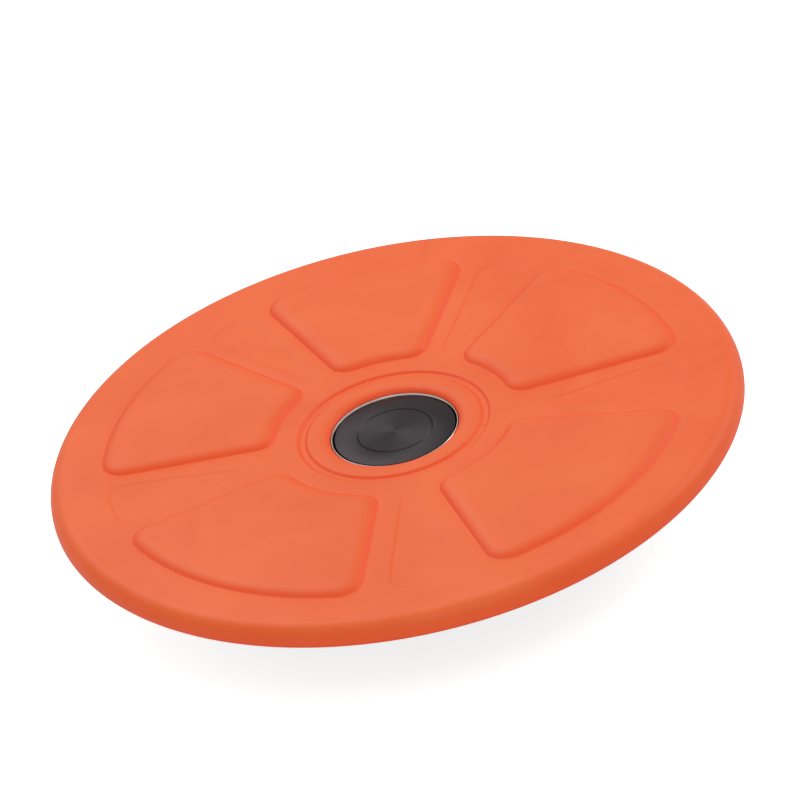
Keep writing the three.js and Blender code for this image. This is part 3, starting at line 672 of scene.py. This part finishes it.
abs_black, abs_place = new_material("textured_black_abs")
leather = add(
    abs_black,
    "ShaderNodeTexVoronoi",
    {"feature": "SMOOTH_F1"},
    {"Vector": abs_place, "Scale": 1000 / GRAIN, "Smoothness": 0.6},
)
abs_cloud = add(abs_black, "ShaderNodeTexNoise", inputs={"Vector": abs_place, "Scale": 30, "Detail": 3})
abs_tone = add(
    abs_black,
    "ShaderNodeMix",
    {"data_type": "RGBA"},
    {0: abs_cloud.outputs["Fac"], 6: linear("#1c1c1e"), 7: linear("#242426")},
)
abs_rough = add(
    abs_black,
    "ShaderNodeMapRange",
    inputs={"Value": leather.outputs["Distance"], "From Max": 0.8, "To Min": 0.42, "To Max": 0.56},
)
abs_bump = add(
    abs_black,
    "ShaderNodeBump",
    inputs={"Strength": 0.35, "Distance": 0.0002, "Height": leather.outputs["Distance"]},
)
finish_material(
    abs_black,
    add(
        abs_black,
        "ShaderNodeBsdfPrincipled",
        inputs={
            "Base Color": abs_tone.outputs[2],
            "Roughness": abs_rough.outputs[0],
            "Normal": abs_bump.outputs[0],
            "IOR": 1.53,
        },
    ),
)
cover_radius, cover_bottom, cover_top = measures("underside_cover")
flange_radius, sleeve_bottom, sleeve_top = measures("threaded_sleeve")
cover_opening = flange_radius + 0.6
cover_outline = [(cover_opening, cover_top), (cover_opening, cover_bottom + COVER_EDGE)]
cover_outline += [(cover_opening + COVER_EDGE, cover_bottom)]
for middle in COVER_RINGS:
    inner, outer = middle - COVER_RING_WIDTH / 2, middle + COVER_RING_WIDTH / 2
    cover_outline += [(inner - 1, cover_bottom), (inner, cover_bottom - COVER_RING_RISE)]
    cover_outline += [(outer, cover_bottom - COVER_RING_RISE), (outer + 1, cover_bottom)]
cover_outline += [(cover_radius - 2 * COVER_EDGE, cover_bottom)]
cover_outline += [(cover_radius, cover_bottom + 2 * COVER_EDGE), (cover_radius, cover_top)]
cover = turned("underside_plate", cover_outline, abs_black, 192)
rib = block(
    "rib",
    COVER_RIB_WIDTH,
    COVER_RINGS[0],
    COVER_RINGS[1],
    cover_bottom - COVER_RING_RISE,
    cover_bottom + 1,
    abs_black,
)
ribs = copies_round("underside_ribs", rib, COVER_RIBS, 0, abs_black)
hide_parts("underside_cover")
for piece in (cover, ribs):
    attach(piece, "deck")

# Cover screws. Eight zinc-plated button-head screws, driven up through the cover into the core.
SOCKET_DEPTH = 0.6  # of the head's height
COVER_SCREWS = 8
COVER_SCREW = (3.8, 1.8, 1.9)  # head's radius and height, and shank's radius


def screw_mesh(name, radius, head, height, shank, seat, tip, up, material):
    """A button-head screw with a hexagon socket on +Y. Its seat and tip are heights, and up says which way it
    is driven."""
    around = np.arange(24) * 15
    hexagon = 0.62 * shank * math.cos(math.pi / 6) / np.cos(np.radians((around % 60) - 30))
    way = -1 if up else 1
    rows = [(0, tip), (shank * 0.7, tip), (shank, tip - way * shank * 0.5), (shank, seat), (head, seat)]
    rows += [(head, seat + way * 0.35 * height), (head * 0.93, seat + way * 0.7 * height)]
    rows += [(head * 0.78, seat + way * 0.92 * height), (head * 0.6, seat + way * height)]
    rows += [(hexagon, seat + way * height), (hexagon, seat + way * (1 - SOCKET_DEPTH) * height)]
    rows += [(0, seat + way * (1 - SOCKET_DEPTH) * height)]
    points, quads = ring_grid(rows, around, False)
    points[:, 1] += radius
    return weld(mesh_object(name, points, quads, material))


# Zinc-plated steel: a cool grey plate with a faint cloudy passivation and fine rolling marks on the head.
zinc, zinc_place = new_material("zinc_plated_steel")
zinc_cloud = add(zinc, "ShaderNodeTexNoise", inputs={"Vector": zinc_place, "Scale": 400, "Detail": 4})
zinc_tone = add(
    zinc,
    "ShaderNodeMix",
    {"data_type": "RGBA"},
    {0: zinc_cloud.outputs["Fac"], 6: linear("#c3c6ca"), 7: linear("#aeb1b3")},
)
zinc_rough = add(
    zinc, "ShaderNodeMapRange", inputs={"Value": zinc_cloud.outputs["Fac"], "To Min": 0.22, "To Max": 0.42}
)
zinc_bump = add(
    zinc, "ShaderNodeBump", inputs={"Strength": 0.1, "Distance": 0.0001, "Height": zinc_cloud.outputs["Fac"]}
)
finish_material(
    zinc,
    add(
        zinc,
        "ShaderNodeBsdfPrincipled",
        inputs={
            "Base Color": zinc_tone.outputs[2],
            "Metallic": 1,
            "Roughness": zinc_rough.outputs[0],
            "Normal": zinc_bump.outputs[0],
        },
    ),
)


def screw_circle(node):
    """The circle that a CAD screw stands on, its angle from +Y, and its lowest and highest point."""
    low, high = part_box(node)
    middle = (low + high) / 2
    angle = math.degrees(math.atan2(-middle.x, middle.y))
    return math.hypot(middle.x, middle.y) * 1000, angle, low.z * 1000, high.z * 1000


circle, first, low, high = screw_circle("cover_screw_1")
one_screw = screw_mesh("screw", circle, *COVER_SCREW, low + COVER_SCREW[1], high, True, zinc)
cover_screws = copies_round("cover_screws", one_screw, COVER_SCREWS, first, zinc)
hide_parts(*[f"cover_screw_{n}" for n in range(1, COVER_SCREWS + 1)])
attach(cover_screws, "deck")

# Threaded sleeve. Turned steel, nickel plated: a bright lip in the deck's hole, a tube through the core, a
# flange screwed up against it, and a barrel below that holds the index ring.
BORE = 35.6
TUBE = 38.6
INDEX_POCKET = 39.6
BARREL = 43.5
FLANGE_THICKNESS = 3
LIP_FLARE = 1.2
SLEEVE_EDGE = 0.6
NECK_HEIGHT = 70
POCKET_HEIGHT = 8.6
SNAP_GROOVE = (1.4, 3.3, 1.4)  # bottom and top above the sleeve's end, and depth

# Nickel plate over turning marks: bright and slightly warm, with rings cut half a millimetre apart.
nickel, nickel_place = new_material("turned_nickel_plated_steel")
nickel_rings = add(
    nickel,
    "ShaderNodeTexWave",
    {"wave_type": "BANDS", "bands_direction": "Z"},
    {"Vector": nickel_place, "Scale": 314 / 0.5, "Distortion": 0.3, "Detail": 1},
)
nickel_cloud = add(nickel, "ShaderNodeTexNoise", inputs={"Vector": nickel_place, "Scale": 60, "Detail": 3})
nickel_tone = add(
    nickel,
    "ShaderNodeMix",
    {"data_type": "RGBA"},
    {0: nickel_cloud.outputs["Fac"], 6: linear("#d8d5cf"), 7: linear("#c2c0bc")},
)
nickel_rough = add(
    nickel, "ShaderNodeMapRange", inputs={"Value": nickel_cloud.outputs["Fac"], "To Min": 0.16, "To Max": 0.3}
)
nickel_bump = add(
    nickel,
    "ShaderNodeBump",
    inputs={"Strength": 0.15, "Distance": 0.0001, "Height": nickel_rings.outputs["Fac"]},
)
finish_material(
    nickel,
    add(
        nickel,
        "ShaderNodeBsdfPrincipled",
        inputs={
            "Base Color": nickel_tone.outputs[2],
            "Metallic": 1,
            "Roughness": nickel_rough.outputs[0],
            "Normal": nickel_bump.outputs[0],
        },
    ),
)
core_bottom = measures("core_plate")[1]
flange_top = core_bottom - 0.3
flange_bottom = flange_top - FLANGE_THICKNESS
groove_low, groove_high = sleeve_bottom + SNAP_GROOVE[0], sleeve_bottom + SNAP_GROOVE[1]
sleeve_outline = [(INDEX_POCKET + 0.4, sleeve_bottom), (BARREL - SLEEVE_EDGE, sleeve_bottom)]
sleeve_outline += [(BARREL, sleeve_bottom + SLEEVE_EDGE)]
sleeve_outline += [(BARREL, flange_bottom - 0.8), (BARREL + 0.8, flange_bottom)]
sleeve_outline += [(flange_radius - SLEEVE_EDGE, flange_bottom), (flange_radius, flange_bottom + SLEEVE_EDGE)]
sleeve_outline += [(flange_radius, flange_top), (TUBE, flange_top), (TUBE, NECK_HEIGHT - 3)]
sleeve_outline += [(BORE + LIP_FLARE, NECK_HEIGHT), (BORE + LIP_FLARE, sleeve_top - 0.3)]
sleeve_outline += [(BORE + LIP_FLARE - 0.3, sleeve_top), (BORE + LIP_FLARE / 2, sleeve_top)]
sleeve_outline += [(BORE + 0.2, sleeve_top - LIP_FLARE / 2), (BORE, sleeve_top - LIP_FLARE)]
sleeve_outline += [(BORE, sleeve_bottom + POCKET_HEIGHT), (INDEX_POCKET, sleeve_bottom + POCKET_HEIGHT)]
sleeve_outline += [(INDEX_POCKET, groove_high), (INDEX_POCKET + SNAP_GROOVE[2], groove_high)]
sleeve_outline += [(INDEX_POCKET + SNAP_GROOVE[2], groove_low), (INDEX_POCKET, groove_low)]
sleeve_outline += [(INDEX_POCKET, sleeve_bottom + 0.4)]
sleeve = turned("steel_sleeve", sleeve_outline, nickel)
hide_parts("threaded_sleeve")
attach(sleeve, "deck")

# Flange screws. Six of the same zinc-plated kind, larger, through the flange into the brass inserts.
FLANGE_SCREWS = 6
FLANGE_SCREW = (4.4, 2.4, 2.5)

circle, first, low, high = screw_circle("flange_screw_1")
one_screw = screw_mesh("screw", circle, *FLANGE_SCREW, low + FLANGE_SCREW[1], high, True, zinc)
flange_screws = copies_round("flange_screws", one_screw, FLANGE_SCREWS, first, zinc)
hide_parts(*[f"flange_screw_{n}" for n in range(1, FLANGE_SCREWS + 1)])
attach(flange_screws, "deck")

# Snap ring. Spring steel wire of square section, sprung into the sleeve's groove below the index ring.
spring_steel, spring_place = new_material("oiled_spring_steel")
oil = add(spring_steel, "ShaderNodeTexNoise", inputs={"Vector": spring_place, "Scale": 220, "Detail": 4})
spring_tone = add(
    spring_steel,
    "ShaderNodeMix",
    {"data_type": "RGBA"},
    {0: oil.outputs["Fac"], 6: linear("#56585c"), 7: linear("#3c3d40")},
)
spring_bump = add(
    spring_steel,
    "ShaderNodeBump",
    inputs={"Strength": 0.15, "Distance": 0.0001, "Height": oil.outputs["Fac"]},
)
finish_material(
    spring_steel,
    add(
        spring_steel,
        "ShaderNodeBsdfPrincipled",
        inputs={
            "Base Color": spring_tone.outputs[2],
            "Metallic": 1,
            "Roughness": 0.35,
            "Normal": spring_bump.outputs[0],
        },
    ),
)
wear(spring_steel, "retaining_ring")

# Index ring. Machined white acetal: it turns in the barrel and its three keys drive the stem.
acetal, acetal_place = new_material("machined_acetal")
tool_marks = add(
    acetal,
    "ShaderNodeTexWave",
    {"wave_type": "RINGS", "rings_direction": "Z"},
    {"Vector": acetal_place, "Scale": 314 / 0.6, "Distortion": 0.2},
)
acetal_tone = add(
    acetal,
    "ShaderNodeMix",
    {"data_type": "RGBA"},
    {0: tool_marks.outputs["Fac"], 6: linear("#eceae3"), 7: linear("#e0ded6")},
)
acetal_bump = add(
    acetal,
    "ShaderNodeBump",
    inputs={"Strength": 0.1, "Distance": 0.0001, "Height": tool_marks.outputs["Fac"]},
)
finish_material(
    acetal,
    add(
        acetal,
        "ShaderNodeBsdfPrincipled",
        inputs={
            "Base Color": acetal_tone.outputs[2],
            "Roughness": 0.38,
            "IOR": 1.48,
            "Normal": acetal_bump.outputs[0],
        },
    ),
)
wear(acetal, "index_ring")

# Threaded stem. Glass-filled nylon, moulded in one: a tube with a coarse three-start thread and three
# keyways, on a flange that is screwed to the dome.
THREAD_CREST = 34.9
THREAD_DEPTH = 1.8
THREAD_PITCH = 8
THREAD_STARTS = 3
THREAD_FLANK = 0.2
THREAD_FLAT = 0.36
KEYWAYS = (60, 180, 300)
KEYWAY_WIDTH = 5
KEYWAY_DEPTH = 2.6
STEM_BORE = 27.1
STEM_FLANGE_THICKNESS = 3.4
STEM_WEB = 4
TOUCH = 0.01  # points this near to the crest are cut

# Glass-filled nylon: dull dark grey, with short pale fibres showing in the skin.
nylon, nylon_place = new_material("glass_filled_nylon")
fibre_place = add(nylon, "ShaderNodeMapping", inputs={"Vector": nylon_place, "Scale": (1, 1, 0.25)})
fibres = add(
    nylon, "ShaderNodeTexNoise", inputs={"Vector": fibre_place.outputs[0], "Scale": 1400, "Detail": 3}
)
nylon_tone = add(
    nylon,
    "ShaderNodeMix",
    {"data_type": "RGBA"},
    {0: fibres.outputs["Fac"], 6: linear("#1b1b1d"), 7: linear("#343437")},
)
nylon_bump = add(
    nylon, "ShaderNodeBump", inputs={"Strength": 0.2, "Distance": 0.0001, "Height": fibres.outputs["Fac"]}
)
finish_material(
    nylon,
    add(
        nylon,
        "ShaderNodeBsdfPrincipled",
        inputs={
            "Base Color": nylon_tone.outputs[2],
            "Roughness": 0.48,
            "IOR": 1.53,
            "Normal": nylon_bump.outputs[0],
        },
    ),
)


def thread_cut():
    """A tree that moves a tube's outer points in to a many-start thread. Heights and depths are in metres."""
    tree = bpy.data.node_groups.new("thread_cut", "GeometryNodeTree")
    tree.interface.new_socket("Geometry", in_out="INPUT", socket_type="NodeSocketGeometry")
    for name in ("Crest", "Depth", "Pitch", "Starts", "Flank", "Flat"):
        tree.interface.new_socket(name, in_out="INPUT", socket_type="NodeSocketFloat")
    tree.interface.new_socket("Finish", in_out="INPUT", socket_type="NodeSocketMaterial")
    tree.interface.new_socket("Geometry", in_out="OUTPUT", socket_type="NodeSocketGeometry")
    given = add(tree, "NodeGroupInput").outputs
    here = add(tree, "GeometryNodeInputPosition")
    x, y, z = add(tree, "ShaderNodeSeparateXYZ", inputs={0: here.outputs[0]}).outputs
    angle = add(tree, "ShaderNodeMath", {"operation": "ARCTAN2"}, {0: y, 1: x})
    turns = add(tree, "ShaderNodeMath", {"operation": "DIVIDE"}, {0: angle.outputs[0], 1: math.tau})
    climb = add(tree, "ShaderNodeMath", {"operation": "DIVIDE"}, {0: z, 1: given["Pitch"]})
    started = add(
        tree, "ShaderNodeMath", {"operation": "MULTIPLY"}, {0: turns.outputs[0], 1: given["Starts"]}
    )
    phase = add(
        tree, "ShaderNodeMath", {"operation": "SUBTRACT"}, {0: started.outputs[0], 1: climb.outputs[0]}
    )
    cycle = add(tree, "ShaderNodeMath", {"operation": "FLOORED_MODULO"}, {0: phase.outputs[0], 1: 1})
    centred = add(tree, "ShaderNodeMath", {"operation": "SUBTRACT"}, {0: cycle.outputs[0], 1: 0.5})
    from_crest = add(tree, "ShaderNodeMath", {"operation": "ABSOLUTE"}, {0: centred.outputs[0]})
    edge = add(
        tree, "ShaderNodeMath", {"operation": "MULTIPLY_ADD"}, {0: given["Flat"], 1: 0.5, 2: given["Flank"]}
    )
    inside = add(
        tree, "ShaderNodeMath", {"operation": "SUBTRACT"}, {0: edge.outputs[0], 1: from_crest.outputs[0]}
    )
    risen = add(
        tree,
        "ShaderNodeMath",
        {"operation": "DIVIDE", "use_clamp": True},
        {0: inside.outputs[0], 1: given["Flank"]},
    )
    sunk = add(tree, "ShaderNodeMath", {"operation": "SUBTRACT"}, {0: 1, 1: risen.outputs[0]})
    drop = add(tree, "ShaderNodeMath", {"operation": "MULTIPLY"}, {0: given["Depth"], 1: sunk.outputs[0]})
    flat_place = add(tree, "ShaderNodeCombineXYZ", inputs={"X": x, "Y": y})
    length = add(tree, "ShaderNodeVectorMath", {"operation": "LENGTH"}, {0: flat_place.outputs[0]})
    radius = length.outputs["Value"]
    cut = add(tree, "ShaderNodeMath", {"operation": "SUBTRACT"}, {0: radius, 1: drop.outputs[0]})
    share = add(tree, "ShaderNodeMath", {"operation": "DIVIDE"}, {0: cut.outputs[0], 1: radius})
    scaled = add(
        tree,
        "ShaderNodeVectorMath",
        {"operation": "SCALE"},
        {0: flat_place.outputs[0], "Scale": share.outputs[0]},
    )
    raised = add(tree, "ShaderNodeCombineXYZ", inputs={"Z": z})
    moved = add(
        tree, "ShaderNodeVectorMath", {"operation": "ADD"}, {0: scaled.outputs[0], 1: raised.outputs[0]}
    )
    below = add(tree, "ShaderNodeMath", {"operation": "SUBTRACT"}, {0: given["Crest"], 1: TOUCH / 1000})
    on_crest = add(tree, "ShaderNodeMath", {"operation": "GREATER_THAN"}, {0: radius, 1: below.outputs[0]})
    setter = add(
        tree,
        "GeometryNodeSetPosition",
        inputs={
            "Geometry": given["Geometry"],
            "Selection": on_crest.outputs[0],
            "Position": moved.outputs[0],
        },
    )
    real = add(tree, "GeometryNodeRealizeInstances", inputs={0: setter.outputs[0]})
    finished = add(
        tree, "GeometryNodeSetMaterial", inputs={"Geometry": real.outputs[0], "Material": given["Finish"]}
    )
    add(tree, "NodeGroupOutput", inputs={0: finished.outputs[0]})
    return tree


stem_flange_radius, stem_bottom, stem_top = measures("threaded_stem")
stem_flange_top = stem_bottom + STEM_FLANGE_THICKNESS
around = np.arange(240) * 1.5
keyway_off = np.min([np.abs(np.radians(turned_from(around, k))) for k in KEYWAYS], axis=0) * THREAD_CREST
in_keyway = keyway_off < KEYWAY_WIDTH / 2
shaft = np.where(in_keyway, THREAD_CREST - KEYWAY_DEPTH, THREAD_CREST)
stem_rows = [(STEM_BORE, stem_bottom), (stem_flange_radius - 0.5, stem_bottom)]
stem_rows += [(stem_flange_radius, stem_bottom + 0.5), (stem_flange_radius, stem_flange_top - 0.5)]
stem_rows += [(stem_flange_radius - 0.5, stem_flange_top), (THREAD_CREST + 0.4, stem_flange_top)]
stem_rows += [(shaft, z) for z in np.arange(stem_flange_top + 0.2, stem_top - 0.7, 0.5)]
stem_rows += [(shaft, stem_top - 0.7), (np.minimum(shaft, THREAD_CREST - 0.7), stem_top)]
stem_rows += [(0, stem_top), (0, stem_top - STEM_WEB), (STEM_BORE, stem_top - STEM_WEB)]
blank = mesh_object("stem_blank", *ring_grid(stem_rows, around, True), nylon)
stem = grown(
    "nylon_stem",
    blank,
    thread_cut(),
    {
        "Crest": THREAD_CREST / 1000,
        "Depth": THREAD_DEPTH / 1000,
        "Pitch": THREAD_PITCH / 1000,
        "Starts": float(THREAD_STARTS),
        "Flank": THREAD_FLANK,
        "Flat": THREAD_FLAT,
        "Finish": nylon,
    },
)
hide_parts("threaded_stem")
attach(stem, "dome")

# Stem screws. Six zinc-plated screws down through the stem's flange into the dome.
STEM_SCREWS = 6
STEM_SCREW = (3.4, 2.2, 2)

circle, first, low, high = screw_circle("stem_screw_1")
one_screw = screw_mesh("screw", circle, *STEM_SCREW, high - STEM_SCREW[1], low, False, zinc)
stem_screws = copies_round("stem_screws", one_screw, STEM_SCREWS, first, zinc)
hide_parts(*[f"stem_screw_{n}" for n in range(1, STEM_SCREWS + 1)])
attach(stem_screws, "dome")

# Cap screws. Three of the same plated kind, hidden under the hub cap, hold it to the stem.
wear(zinc, *[f"cap_screw_{number}" for number in range(1, 4)])

# Hub cap. A black-anodised aluminium disc, faced on a lathe: a bevelled edge, one engraved ring, and the fine
# circles of the cutter, which stretch every light into a fan across it.
CAP_CHAMFER = 0.7
CAP_RING = 21.5
CAP_RING_WIDTH = 1.3
CAP_RING_DEPTH = 0.5
CUTTER_STEP = 0.9  # cut finer on the real one; this is as fine as shows

anodised, anodised_place = new_material("faced_black_anodised_aluminium")
facing_marks = add(
    anodised,
    "ShaderNodeTexWave",
    {"wave_type": "RINGS", "rings_direction": "Z"},
    {"Vector": anodised_place, "Scale": 314 / CUTTER_STEP, "Distortion": 0.15, "Detail": 2},
)
tint = add(anodised, "ShaderNodeTexNoise", inputs={"Vector": anodised_place, "Scale": 45, "Detail": 3})
anodised_tone = add(
    anodised,
    "ShaderNodeMix",
    {"data_type": "RGBA"},
    {0: tint.outputs["Fac"], 6: linear("#322d2f"), 7: linear("#3a3537")},
)
anodised_rough = add(
    anodised,
    "ShaderNodeMapRange",
    inputs={"Value": facing_marks.outputs["Fac"], "To Min": 0.3, "To Max": 0.4},
)
anodised_bump = add(
    anodised,
    "ShaderNodeBump",
    inputs={"Strength": 0.06, "Distance": 0.0001, "Height": facing_marks.outputs["Fac"]},
)
cutter_path = add(anodised, "ShaderNodeTangent", {"direction_type": "RADIAL", "axis": "Z"})
finish_material(
    anodised,
    add(
        anodised,
        "ShaderNodeBsdfPrincipled",
        inputs={
            "Base Color": anodised_tone.outputs[2],
            "Metallic": 1,
            "Roughness": anodised_rough.outputs[0],
            "Anisotropic": 0.6,
            "Tangent": cutter_path.outputs[0],
            "Normal": anodised_bump.outputs[0],
        },
    ),
)
cap_radius, cap_bottom, cap_top = measures("hub_cap")
cap_outline = [(0, cap_bottom), (cap_radius - 0.3, cap_bottom), (cap_radius, cap_bottom + 0.3)]
cap_outline += [(cap_radius, cap_top - CAP_CHAMFER), (cap_radius - 0.15, cap_top - CAP_CHAMFER * 0.4)]
cap_outline += [(cap_radius - CAP_CHAMFER * 0.5, cap_top - 0.1), (cap_radius - CAP_CHAMFER, cap_top)]
cap_outline += [(CAP_RING + CAP_RING_WIDTH / 2, cap_top), (CAP_RING, cap_top - CAP_RING_DEPTH)]
cap_outline += [(CAP_RING - CAP_RING_WIDTH / 2, cap_top), (12, cap_top), (0, cap_top)]
cap = turned("turned_hub_cap", cap_outline, anodised, 160)
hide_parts("hub_cap")
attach(cap, "dome")

# Dome. A moulded black ABS bowl that rocks on the floor, with grip ridges round its upper edge for turning
# it. A wall inside it carries the stem's flange, and a recess below takes the rubber foot.
FLUTES = 60
FLUTE_WIDTH = 2.2
FLUTE_RISE = 0.7
FLUTE_RADII = (66, 74)  # where each ridge starts and ends
FLUTE_SECTION = [(-0.5, -0.4), (-0.36, 0.75), (0, 1), (0.36, 0.75), (0.5, -0.4)]  # shares of width and rise
DOME_WALL = 4
DOME_HEIGHT = 53.5
DOME_EDGE = 0.6
STEM_SEAT = 9  # width of the ledge under the stem's flange
BOWL_RADIUS = 28  # of the flat at the bottom inside
STUD_HOLE = 5
FIT = 0.3  # between pieces that are put together

dome_radius, _, dome_rim = measures("dome_shell")
pole = dome_rim - DOME_HEIGHT
sphere = (dome_radius**2 + DOME_HEIGHT**2) / (2 * DOME_HEIGHT)
foot_radius, foot_bottom, foot_top = measures("rubber_foot")


def dome_height(radius, ball=sphere):
    """Height of the dome's outside at a radius, or of the ball that its inside follows."""
    return pole + sphere - math.sqrt(ball**2 - radius**2)


inner_ball = sphere - DOME_WALL
inside_rim = math.sqrt(inner_ball**2 - (pole + sphere - dome_rim) ** 2)
recess = foot_radius + FIT
dome_outline = [(STUD_HOLE, foot_top + FIT), (recess - FIT, foot_top + FIT), (recess, foot_top)]
dome_outline += [(recess, dome_height(recess + 0.5) + 0.4), (recess + 0.6, dome_height(recess + 0.6))]
dome_outline += [(r, dome_height(r)) for r in np.linspace(recess + 2, dome_radius - DOME_EDGE, 30)]
dome_outline += [(dome_radius - 0.1, dome_rim - 0.5), (dome_radius - DOME_EDGE, dome_rim)]
seat = (stem_flange_radius + 0.6, stem_flange_radius - STEM_SEAT)
dome_outline += [(inside_rim + 0.5, dome_rim)]
dome_outline += [(r, dome_height(r, inner_ball)) for r in np.linspace(inside_rim, seat[0], 10)]
dome_outline += [(seat[0], stem_bottom - FIT), (seat[1], stem_bottom - FIT)]
dome_outline += [(r, dome_height(r, inner_ball)) for r in np.linspace(seat[1], BOWL_RADIUS, 6)]
dome_outline += [(STUD_HOLE, dome_height(BOWL_RADIUS, inner_ball))]
dome = turned("rocker_dome", dome_outline, abs_black, 160)
ridge = []
path = np.linspace(*FLUTE_RADII, 12)
for place, radius in enumerate(path):
    lean = math.asin(radius / sphere)
    swell = math.sin(math.pi * place / (len(path) - 1)) ** 0.35 if 0 < place < len(path) - 1 else 0
    for across, out in FLUTE_SECTION:
        lift = FLUTE_RISE * (out * swell if out > 0 else out)
        out_by, down_by = lift * math.sin(lean), lift * math.cos(lean)
        ridge.append((across * FLUTE_WIDTH, radius + out_by, dome_height(radius) - down_by))
wide = len(FLUTE_SECTION)
ridge_faces = [
    (row * wide + i, row * wide + (i + 1) % wide, (row + 1) * wide + (i + 1) % wide, (row + 1) * wide + i)
    for row in range(len(path) - 1)
    for i in range(wide)
]
ridge_faces += [tuple(range(wide))[::-1], tuple(range(len(ridge) - wide, len(ridge)))]
flute = weld(mesh_object("flute", ridge, ridge_faces, abs_black))
flutes = copies_round("grip_flutes", flute, FLUTES, 0, abs_black)
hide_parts("dome_shell")
for piece in (dome, flutes):
    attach(piece, "dome")

# Rubber foot. A moulded pad with a flat tread of rings, which grips the floor under the dome. It is moulded
# round the head of a steel stud, held by a washer and a nut inside the dome.
TREAD_RADIUS = 18
TREADS = [4.5, 8, 11.5, 15]
TREAD_GROOVE = 1.4
TREAD_DEPTH = 0.9
FOOT_EDGE = 1.2
FOOT_SHOULDER = 3  # from the tread to the rounded edge
STUD_RADIUS = 4
STUD_HEAD_THICKNESS = 2

# Nitrile rubber: dull black with a bloom of lighter grey, and a faint roughness left by a blasted mould.
rubber, rubber_place = new_material("moulded_nitrile_rubber")
bloom = add(rubber, "ShaderNodeTexNoise", inputs={"Vector": rubber_place, "Scale": 90, "Detail": 4})
rubber_tone = add(
    rubber,
    "ShaderNodeMix",
    {"data_type": "RGBA"},
    {0: bloom.outputs["Fac"], 6: linear("#161616"), 7: linear("#242322")},
)
rubber_rough = add(
    rubber, "ShaderNodeMapRange", inputs={"Value": bloom.outputs["Fac"], "To Min": 0.72, "To Max": 0.88}
)
blasted = add(rubber, "ShaderNodeTexNoise", inputs={"Vector": rubber_place, "Scale": 1600, "Detail": 2})
rubber_bump = add(
    rubber, "ShaderNodeBump", inputs={"Strength": 0.25, "Distance": 0.0001, "Height": blasted.outputs["Fac"]}
)
finish_material(
    rubber,
    add(
        rubber,
        "ShaderNodeBsdfPrincipled",
        inputs={
            "Base Color": rubber_tone.outputs[2],
            "Roughness": rubber_rough.outputs[0],
            "Specular IOR Level": 0.35,
            "Normal": rubber_bump.outputs[0],
        },
    ),
)
head_radius, head_bottom, _ = measures("foot_stud")
head_top = head_bottom + STUD_HEAD_THICKNESS
edge_height = dome_height(foot_radius) - FOOT_EDGE
foot_outline = [(0, foot_bottom)]
for middle in TREADS:
    inner, outer = middle - TREAD_GROOVE / 2, middle + TREAD_GROOVE / 2
    foot_outline += [(inner, foot_bottom), (inner + 0.2, foot_bottom + TREAD_DEPTH)]
    foot_outline += [(outer - 0.2, foot_bottom + TREAD_DEPTH), (outer, foot_bottom)]
foot_outline += [(TREAD_RADIUS, foot_bottom), (TREAD_RADIUS + FOOT_SHOULDER, foot_bottom + 0.2 * edge_height)]
foot_outline += [(foot_radius - FOOT_EDGE, 0.45 * edge_height), (foot_radius, edge_height)]
foot_outline += [(foot_radius, foot_top - FIT), (foot_radius - FIT, foot_top), (STUD_RADIUS + FIT, foot_top)]
foot_outline += [(STUD_RADIUS + FIT, head_top + FIT), (head_radius + FIT, head_top + FIT)]
foot_outline += [(head_radius + FIT, head_bottom - FIT), (0, head_bottom - FIT)]
foot = turned("rubber_tread_foot", foot_outline, rubber, 96)
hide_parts("rubber_foot")
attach(foot, "dome")

# Foot hardware. The stud moulded into the foot, with the washer and nut that hold it inside the dome.
wear(zinc, "foot_stud", "foot_washer", "foot_nut")
